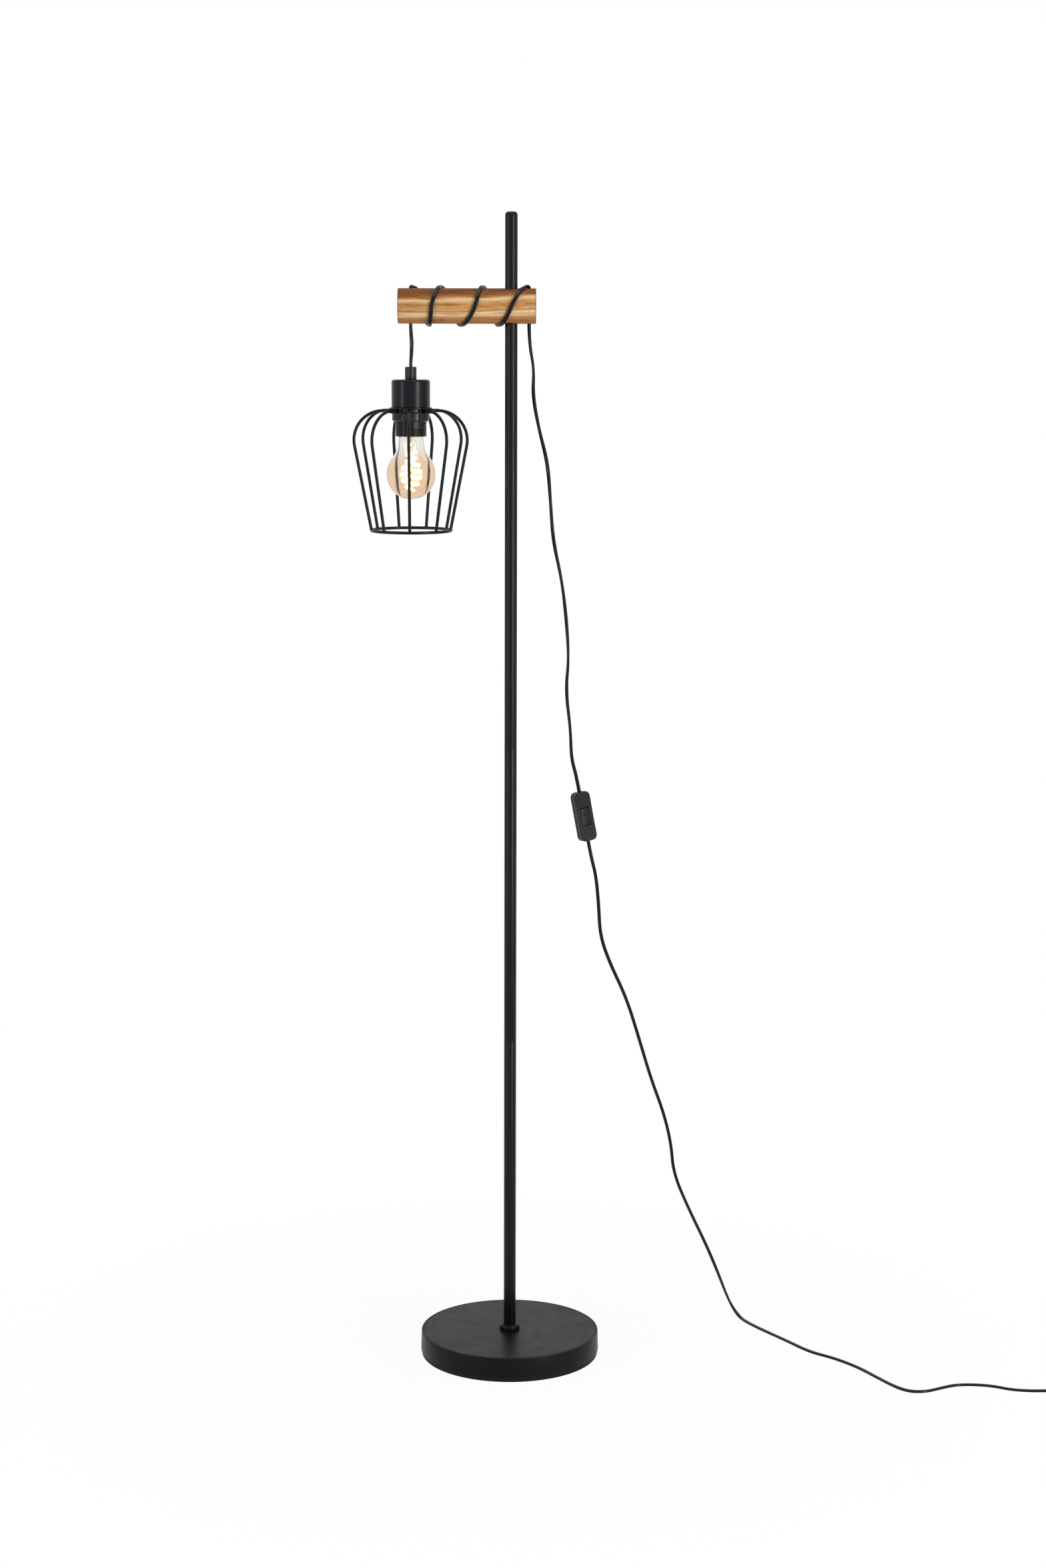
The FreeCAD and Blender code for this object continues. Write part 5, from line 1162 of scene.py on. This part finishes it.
class FLOORLAMP_OT_cage(bpy.types.Operator):
    """Bend the cage's wires, weld them to the mouth ring and press the two plates"""

    bl_idname = "floor_lamp.cage"
    bl_label = "Cage"

    WIRES = 9
    START = 0.024
    SHOULDER = 0.036
    BEND = 0.037

    def execute(self, context):
        sizes = context.scene.lamp_sizes
        coat = bpy.data.materials["satin_powder_coat"]
        centre = Vector((PENDANT_X, 0.0, 0.0))
        for plate, node in ((PLATE_UPPER, "cage_plate_upper"), (PLATE_LOWER, "cage_plate_lower")):
            outline = sleeve_outline(PLATE_BORE, plate)
            rounds = {1: sizes.edge_round, 2: sizes.edge_round}
            turned_piece(
                node + "_disc", outline, rounds, coat, "pendant", [node], centre, 128
            )
        level = (PLATE_UPPER.low.z + PLATE_LOWER.high.z) / 2.0
        mouth = MOUTH.middle.z
        mouth_reach = MOUTH.radius - sizes.wire_radius
        for number in range(self.WIRES):
            form = bmesh.new()
            self.bend_wire(form, sizes.wire_radius, level, mouth_reach, mouth)
            angle = math.radians(-90.0 + number * 360.0 / self.WIRES)
            place = Matrix.Translation(centre) @ Matrix.Rotation(angle, 4, "Z")
            bmesh.ops.transform(form, matrix=place, verts=form.verts[:])
            node = "cage_wire_%d" % (number + 1)
            bmesh_piece("wire_%d" % (number + 1), form, coat, "pendant", [node], 45.0)
        form = bmesh.new()
        upright = Matrix.Rotation(math.pi / 2.0, 4, "X")
        place = Matrix.Translation((PENDANT_X + mouth_reach, 0.0, mouth)) @ upright
        made = bmesh.ops.create_circle(form, segments=20, radius=sizes.wire_radius, matrix=place)
        section = made["verts"]
        edges = list({edge for vert in section for edge in vert.link_edges})
        spin_round(form, section + edges, centre, 144)
        bmesh_piece("mouth_ring", form, coat, "pendant", ["cage_bottom_ring"], 60.0)
        return {"FINISHED"}

    def bend_wire(self, form, radius, level, mouth_reach, mouth):
        """One wire in the XZ plane: straight out, round the shoulder, straight to the mouth."""
        reach = Vector((mouth_reach - self.SHOULDER, 0.0, mouth - (level - self.BEND)))
        slant = math.atan2(-reach.z, reach.x) - math.acos(self.BEND / reach.length)
        sideways = Matrix.Rotation(math.pi / 2.0, 4, "Y")
        across = Matrix.Translation((self.START, 0.0, level)) @ sideways
        section = bmesh.ops.create_circle(
            form, cap_ends=True, segments=16, radius=radius, matrix=across
        )
        edges = list({edge for vert in section["verts"] for edge in vert.link_edges})
        straight = Matrix.Translation((self.SHOULDER - self.START, 0.0, 0.0))
        edges = extrude_rim(form, edges, straight)
        bent = bmesh.ops.spin(
            form, geom=edges, cent=(self.SHOULDER, 0.0, level - self.BEND), axis=(0.0, 1.0, 0.0),
            angle=math.pi / 2.0 + slant, steps=28
        )["geom_last"]
        leaving = Vector((self.SHOULDER, 0.0, level - self.BEND))
        leaving += Vector((math.cos(slant), 0.0, -math.sin(slant))) * self.BEND
        foot = Vector((mouth_reach, 0.0, mouth))
        leg = foot - leaving
        leg -= leg.normalized() * radius * 0.8
        edges = extrude_rim(form, only(Edge, bent), Matrix.Translation(leg))
        bmesh.ops.contextual_create(form, geom=edges)
        face_out(form)


# ---- bulb


def coated_glass(colours, clear_above):
    """Blown soda glass, amber inside up to the clear neck, with painted shade where it is seen edge
    on: browner on the amber, greyer on the clear neck.
    """
    fade_start, fade_end = 0.034, 0.002
    material, tree, shader = start_material(
        "amber_glass",
        {"Roughness": 0.0, "IOR": 1.45, "Transmission Weight": 1.0, "Specular IOR Level": 0.5}
    )
    source = add_node(tree, "TexCoord", {})
    parts = add_node(tree, "SeparateXYZ", {"Vector": source["Object"]})
    share = add_node(
        tree, "MapRange",
        {
            "From Min": clear_above - fade_start, "From Max": clear_above - fade_end,
            "Value": parts["Z"]
        },
        interpolation_type="SMOOTHSTEP"
    )
    # The coating is a little uneven, in clouds 15 mm across.
    clouds = add_node(
        tree, "TexNoise", {"Scale": 1.0, "Detail": 1.0, "Vector": pattern_place(tree, 0.015)}
    )
    # Painted shade: the glass darkens where it is seen edge on, in place of the dark surroundings
    # that real glass shows there.
    edge = add_node(tree, "LayerWeight", {"Blend": 0.30})
    rim = add_node(
        tree, "MapRange",
        {"From Min": 0.35, "From Max": 0.95, "To Min": 0.0, "To Max": 0.8, "Value": edge["Facing"]},
        interpolation_type="SMOOTHSTEP"
    )
    uneven = add_node(
        tree, "Mix", {"Factor": 0.10, "A": colours.glass, "B": clouds["Color"]}, data_type="RGBA",
        blend_type="MULTIPLY"
    )
    amber_with_painted_shade = add_node(
        tree, "Mix", {"B": linear("D8AC84"), "Factor": rim["Result"], "A": uneven["Result"]},
        data_type="RGBA"
    )
    # The clear neck gets a painted grey shade where it is seen edge on.
    clear = add_node(
        tree, "Mix", {"A": linear("F6F4F0"), "B": linear("C9C4BE"), "Factor": rim["Result"]},
        data_type="RGBA"
    )
    both = add_node(
        tree, "Mix", {"Factor": share["Result"], "A": amber_with_painted_shade["Result"], "B": clear["Result"]},
        data_type="RGBA"
    )
    tree.links.new(both["Result"], shader.inputs["Base Color"])
    return material


def glowing_filament(colours):
    """Phosphor-coated filament, lit: evenly bright and warm, with a faint grain."""
    material, tree, shader = start_material(
        "glowing_filament",
        {
            "Base Color": linear("FFE2A8"), "Roughness": 0.6, "Emission Color": colours.glow,
            "Emission Strength": 8.0
        }
    )
    grain = add_node(
        tree, "TexNoise", {"Scale": 1.0, "Detail": 1.0, "Vector": pattern_place(tree, 0.003)}
    )
    relief = add_node(tree, "Bump", {"Strength": 0.4, "Distance": 0.0001, "Height": grain["Fac"]})
    tree.links.new(relief["Normal"], shader.inputs["Normal"])
    return material


class FLOORLAMP_OT_bulb(bpy.types.Operator):
    """Blow the bulb, form its screw cap and wind the glowing filament"""

    bl_idname = "floor_lamp.bulb"
    bl_label = "Bulb"

    SHOULDER = 0.0355
    WAIST = 0.0258
    SHOULDER_TURN = 40.0
    NECK_TURN = 6.0
    TURNS = 6
    WIDTHS = [0.50, 0.46, 0.38, 0.80, 0.90, 0.98, 1.0, 0.86, 0.60, 0.24]
    WIDEST = 0.0126
    SPIRAL = 0.0495
    SPIRAL_RISE = 0.0292
    CAP_CREST = 0.01315

    def execute(self, context):
        sizes = context.scene.lamp_sizes
        colours = context.scene.lamp_colours
        centre = Vector((PENDANT_X, 0.0, 0.0))
        glass = Extent("bulb_glass")
        cap = Extent("bulb_cap")
        outer = self.profile(glass, cap, 0.0)
        inner = self.profile(glass, cap, sizes.glass_wall)
        form = bmesh.new()
        spin_outline(form, outer + inner[::-1], centre, {}, 128)
        amber = coated_glass(colours, cap.low.z - 0.010)
        bmesh_piece("bulb_envelope", form, amber, "bulb", ["bulb_glass"], 60.0)
        self.form_cap(cap, centre)
        self.blow_stem(centre)
        self.wind_filament(sizes, colours)
        return {"FINISHED"}

    def profile(self, glass, cap, inset):
        """The glass from its lowest point to its mouth, moved in by inset."""
        radius = glass.radius - inset
        shoulder = self.SHOULDER - inset
        waist = self.WAIST + inset
        middle = glass.low.z + glass.radius
        points = []
        for step in range(17):
            turn = math.radians(-90.0 + 90.0 * step / 16.0)
            points.append((radius * math.cos(turn), middle + radius * math.sin(turn)))
        offset = radius - shoulder
        for step in range(1, 13):
            turn = math.radians(self.SHOULDER_TURN * step / 12.0)
            points.append((offset + shoulder * math.cos(turn), middle + shoulder * math.sin(turn)))
        turn = math.radians(self.SHOULDER_TURN)
        hollow = (points[-1][0] + waist * math.cos(turn), points[-1][1] + waist * math.sin(turn))
        for step in range(1, 13):
            angle = self.SHOULDER_TURN + (self.NECK_TURN - self.SHOULDER_TURN) * step / 12.0
            turn = math.radians(angle)
            points.append((hollow[0] - waist * math.cos(turn), hollow[1] - waist * math.sin(turn)))
        neck_top = cap.low.z - 0.003
        slope = math.tan(math.radians(self.NECK_TURN))
        points.append((points[-1][0] - slope * (neck_top - points[-1][1]), neck_top))
        points.append((points[-1][0] - 0.0007, neck_top + 0.0011))
        points.append((self.CAP_CREST - 0.0003 - inset, cap.low.z))
        return points

    def form_cap(self, cap, centre):
        """The rolled brass screw cap."""
        # Nickel plate on rolled brass: a warm grey mirror, blurred by rolling marks.
        nickel = metal_surface("plated_cap", "B9B4A8", 0.30, (0.004, 0.004, 0.0004))
        inside, root, flank, crest = 0.0118, 0.0122, 0.01265, self.CAP_CREST
        outline = [(inside, cap.high.z), (inside, cap.low.z), (crest, cap.low.z)]
        pitch = 0.0036
        for turn in range(5):
            level = cap.low.z + pitch * (turn + 0.3)
            outline += [
                (crest, level), (flank, level + pitch * 0.22), (root, level + pitch * 0.42),
                (root, level + pitch * 0.58), (flank, level + pitch * 0.8)
            ]
        outline += [(crest, cap.low.z + pitch * 5.3), (root, cap.high.z)]
        turned_piece(
            "cap_thread", outline, {}, nickel, "bulb", ["bulb_cap"], centre, 96, 50.0
        )

    def blow_stem(self, centre):
        """The clear glass flare and stem that carry the filament."""
        stem = Extent("bulb_stem")
        filament = Extent("bulb_filament")
        # Drawn lead glass, left clear: only its edges and its bright reflections show.
        clear, _, _ = start_material(
            "clear_glass",
            {
                "Base Color": linear("F4F2EE"), "Roughness": 0.02, "IOR": 1.5,
                "Transmission Weight": 1.0
            }
        )
        outline = [
            (0.0062, stem.high.z), (0.0032, stem.high.z - 0.009), (0.0022, filament.high.z + 0.002),
            (0.0013, stem.low.z + 0.001), (0.0, stem.low.z), (0.0, filament.high.z + 0.004),
            (0.0025, stem.high.z - 0.0085), (0.0055, stem.high.z)
        ]
        turned_piece(
            "stem_glass", outline, {}, clear, "bulb", ["bulb_stem"], centre, 48, 60.0
        )

    def filament_point(self, top, share):
        """A point of the spiral: narrow at the top, wide in the middle, then to a tip."""
        last = len(self.WIDTHS) - 1
        cell = min(int(share * last), last - 1)
        rest = share * last - cell
        width = self.WIDTHS[cell] * (1.0 - rest) + self.WIDTHS[cell + 1] * rest
        turn = math.tau * self.TURNS * share
        reach = self.WIDEST * width
        return Vector((
            PENDANT_X + reach * math.cos(turn), reach * math.sin(turn), top - self.SPIRAL * share
        ))

    def wind_filament(self, sizes, colours):
        glass = Extent("bulb_glass")
        top = glass.low.z + glass.radius + self.SPIRAL_RISE
        steps = 24 * self.TURNS
        controls = [self.filament_point(top, step / steps) for step in range(steps + 1)]
        line = read_spline("filament_line", controls)
        outline = []
        for step in range(12):
            turn = math.tau * step / 12.0
            outline.append(Vector((math.cos(turn), math.sin(turn), 0.0)) * sizes.filament_radius)
        form = bmesh.new()
        sweep(form, outline, line, [PLUMB] * len(line))
        glow = glowing_filament(colours)
        bmesh_piece("spiral_filament", form, glow, "bulb", ["bulb_filament"], 60.0)


# ---- switch


SWITCH_TILT = Matrix.Rotation(math.radians(-10.5), 4, "Y")
SWITCH_TURN = Matrix.Rotation(math.radians(30.0), 4, "Z")
SWITCH_PLACE = Matrix.Translation((0.0963, 0.0610, 0.7150)) @ SWITCH_TILT @ SWITCH_TURN
SWITCH_SIZE = (0.023, 0.015, 0.066)
ROCKER_PIN_Y = -0.0025
ROCKER_REACH = 0.012


class FLOORLAMP_OT_switch(bpy.types.Operator):
    """Mould the in-line switch's two shells and its rocker"""

    bl_idname = "floor_lamp.switch"
    bl_label = "Switch"

    def execute(self, context):
        colours = context.scene.lamp_colours
        # ABS from a lightly etched tool: charcoal, with a soft sheen along its rounded edges.
        abs_shell = moulded_surface(
            "switch_abs", colours.switch, 0.36, 0.0006, 0.000006, level=0.20
        )
        split, seam = 0.001, 0.00025
        half = SWITCH_SIZE[2] / 2.0
        dip = 0.002
        dip_radius = (half * half + dip * dip) / (2.0 * dip)
        front = -SWITCH_SIZE[1] / 2.0
        sideways = Matrix.Rotation(math.pi / 2.0, 4, "Y")
        dip_place = Matrix.Translation((0.0, front + dip - dip_radius, 0.0)) @ sideways
        window_size, window_y = (0.0133, SWITCH_SIZE[1], 0.0243), -0.0100
        parts = (
            # name, node, side of the split that is kept
            ("switch_back_shell", "switch_base", 1.0),
            ("switch_front_shell", "switch_cover", -1.0),
        )
        for name, node, side in parts:
            block = soft_block(SWITCH_SIZE, 0.007, 0.0022)
            bmesh.ops.bisect_plane(
                block, geom=block.verts[:] + block.edges[:] + block.faces[:],
                plane_co=(0.0, split, 0.0), plane_no=(0.0, 1.0, 0.0), clear_inner=side > 0.0,
                clear_outer=side < 0.0
            )
            rim = [edge for edge in block.edges if edge.is_boundary]
            cap = bmesh.ops.contextual_create(block, geom=rim)["faces"]
            bevel(block, list({edge for face in cap for edge in face.edges}), seam, 2)
            cutters = []
            if side < 0.0:
                cutters.append(rod(dip_radius, SWITCH_SIZE[0] * 1.5, dip_place, segments=720))
                window = bmesh.new()
                bmesh.ops.create_cube(window, size=1.0, matrix=Matrix.Diagonal((*window_size, 1.0)))
                bmesh.ops.translate(window, vec=(0.0, window_y, 0.0), verts=window.verts[:])
                face_out(window)
                cutters.append(window)
            face_out(block)
            mesh = carved_mesh(block, *cutters) if cutters else made_mesh(name, block)
            mesh.transform(SWITCH_PLACE)
            mesh_piece(name, mesh, abs_shell, "stand", [node], 28.0)
        self.mould_rocker(colours)
        line = read_spline("upper_line", [point[:3] for point in UPPER_ROUTE])
        return {"FINISHED"}

    def mould_rocker(self, colours):
        # The same ABS, a touch duller where thumbs press it.
        rubbed = moulded_surface("rocker_abs", colours.switch, 0.38, 0.0006, 0.000006, level=0.20)

        def at(angle):
            turn = math.radians(angle)
            return (
                0.0, ROCKER_PIN_Y - ROCKER_REACH * math.sin(turn), ROCKER_REACH * math.cos(turn)
            )

        corners = [
            at(24.0), at(3.0), (0.0, ROCKER_PIN_Y + 0.0016, 0.0026),
            (0.0, ROCKER_PIN_Y + 0.0016, -0.0026), at(176.0), at(165.5),
            (0.0, ROCKER_PIN_Y - 0.0031, 0.0)
        ]
        half = 0.0065
        form = bmesh.new()
        ring = [form.verts.new((-half, point[1], point[2])) for point in corners]
        side = form.faces.new(ring)
        grown = bmesh.ops.extrude_face_region(form, geom=[side])["geom"]
        bmesh.ops.translate(form, vec=(half * 2.0, 0.0, 0.0), verts=only(Vert, grown))
        face_out(form)
        bevel(form, form.edges[:], 0.00045, 3)
        bmesh.ops.transform(form, matrix=SWITCH_PLACE, verts=form.verts[:])
        bmesh_piece(
            "rocker_moulding", form, rubbed, "rocker", ["switch_rocker"], 40.0
        )


# ---- hidden hardware


class FLOORLAMP_OT_hardware(bpy.types.Operator):
    """Give the CAD's own inner pieces their metals, ceramic and plastics"""

    bl_idname = "floor_lamp.hardware"
    bl_label = "Hardware"

    ZINC = (
        "base_washer", "base_nut", "base_stud", "joint_studs", "joint_bushes", "arm_set_screw",
        "switch_screws", "bulb_lead_wires"
    )
    BRASS = (
        "screw_insert", "terminal_screws", "contact_shell", "centre_contact", "switch_contacts"
    )

    def execute(self, context):
        metals = (
            # name, colour, roughness, length of the marks along each axis, nodes
            # Zinc plate on turned steel: pale bluish grey, brushed round by the lathe.
            ("zinc_plated_steel", "A8ABAE", 0.34, (0.0010, 0.0010, 0.0003), self.ZINC),
            # Bare brass, turned or pressed: warm yellow with fine tool marks.
            ("turned_brass", "C9A04A", 0.28, (0.0008, 0.0008, 0.0003), self.BRASS),
            # Nickel on brass pins: bright, drawn lengthwise.
            ("nickel_pins", "C2BFB6", 0.22, (0.0004, 0.004, 0.0004), ["plug_pins"]),
            # A drop of tin solder: dull silver.
            ("tin_solder", "B4B4B0", 0.40, (0.001, 0.001, 0.001), ["bulb_contact"]),
        )
        others = (
            # name, colour, roughness, grain, bump, specular level, nodes
            # Raw cast iron: dark grey, rough and dull.
            ("cast_iron", "3C3B39", 0.75, 0.0016, 0.0002, 0.4, ["base_weight"]),
            # Glazed steatite: off-white and shiny, faintly uneven.
            ("glazed_steatite", "E4E0D4", 0.25, 0.0006, 0.00002, 0.5, ["lampholder_insert"]),
            # Undyed nylon: milky and waxy.
            ("natural_nylon", "D8D4C4", 0.5, 0.0006, 0.00003, 0.5, ["grip_screw"]),
            # Poured black glass round the contact: deep black, fire polished.
            ("black_vitrite", "0C0C10", 0.12, 0.0006, 0.00001, 0.5, ["bulb_insulator"]),
            # PVC moulded over the pins: black, matt from its etched tool.
            ("plug_pvc", "151516", 0.42, 0.0007, 0.00004, 0.5, ["plug_body", "coil_tie"]),
        )
        finishes = {
            bpy.data.materials["moulded_pbt"]: ["lampholder_cap"],
            bpy.data.materials["pvc_sheath"]: ["flex_tail"]
        }
        for name, code, roughness, brush, nodes in metals:
            finishes[metal_surface(name, code, roughness, brush)] = nodes
        for name, code, *numbers, nodes in others:
            finishes[moulded_surface(name, linear(code), *numbers)] = nodes
        for material, nodes in finishes.items():
            for name in nodes:
                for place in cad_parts[name].material_slots:
                    place.material = material
        return {"FINISHED"}


# ---- panel and start


class FLOORLAMP_PT_panel(bpy.types.Panel):
    """Lists the pieces of the lamp"""

    bl_label = "Floor Lamp"
    bl_idname = "FLOORLAMP_PT_panel"
    bl_space_type = "VIEW_3D"
    bl_region_type = "UI"
    bl_category = "Floor Lamp"

    def draw(self, context):
        for operator in OPERATORS:
            self.layout.operator(operator.bl_idname)
        for group in (context.scene.lamp_sizes, context.scene.lamp_colours):
            for name in group.__annotations__:
                self.layout.prop(group, name)


OPERATORS = (
    FLOORLAMP_OT_stage, FLOORLAMP_OT_flex, FLOORLAMP_OT_switch, FLOORLAMP_OT_base,
    FLOORLAMP_OT_pole, FLOORLAMP_OT_beam, FLOORLAMP_OT_holder, FLOORLAMP_OT_cage, FLOORLAMP_OT_bulb,
    FLOORLAMP_OT_hardware
)
CLASSES = (LampSizes, LampColours, *OPERATORS, FLOORLAMP_PT_panel)


def register():
    for kind in CLASSES:
        bpy.utils.register_class(kind)
    bpy.types.Scene.lamp_sizes = bpy.props.PointerProperty(type=LampSizes)
    bpy.types.Scene.lamp_colours = bpy.props.PointerProperty(type=LampColours)


def unregister():
    del bpy.types.Scene.lamp_colours
    del bpy.types.Scene.lamp_sizes
    for kind in reversed(CLASSES):
        bpy.utils.unregister_class(kind)


def main():
    register()
    for operator in OPERATORS:
        group, name = operator.bl_idname.split(".")
        getattr(getattr(bpy.ops, group), name)()


if __name__ == "__main__":
    main()
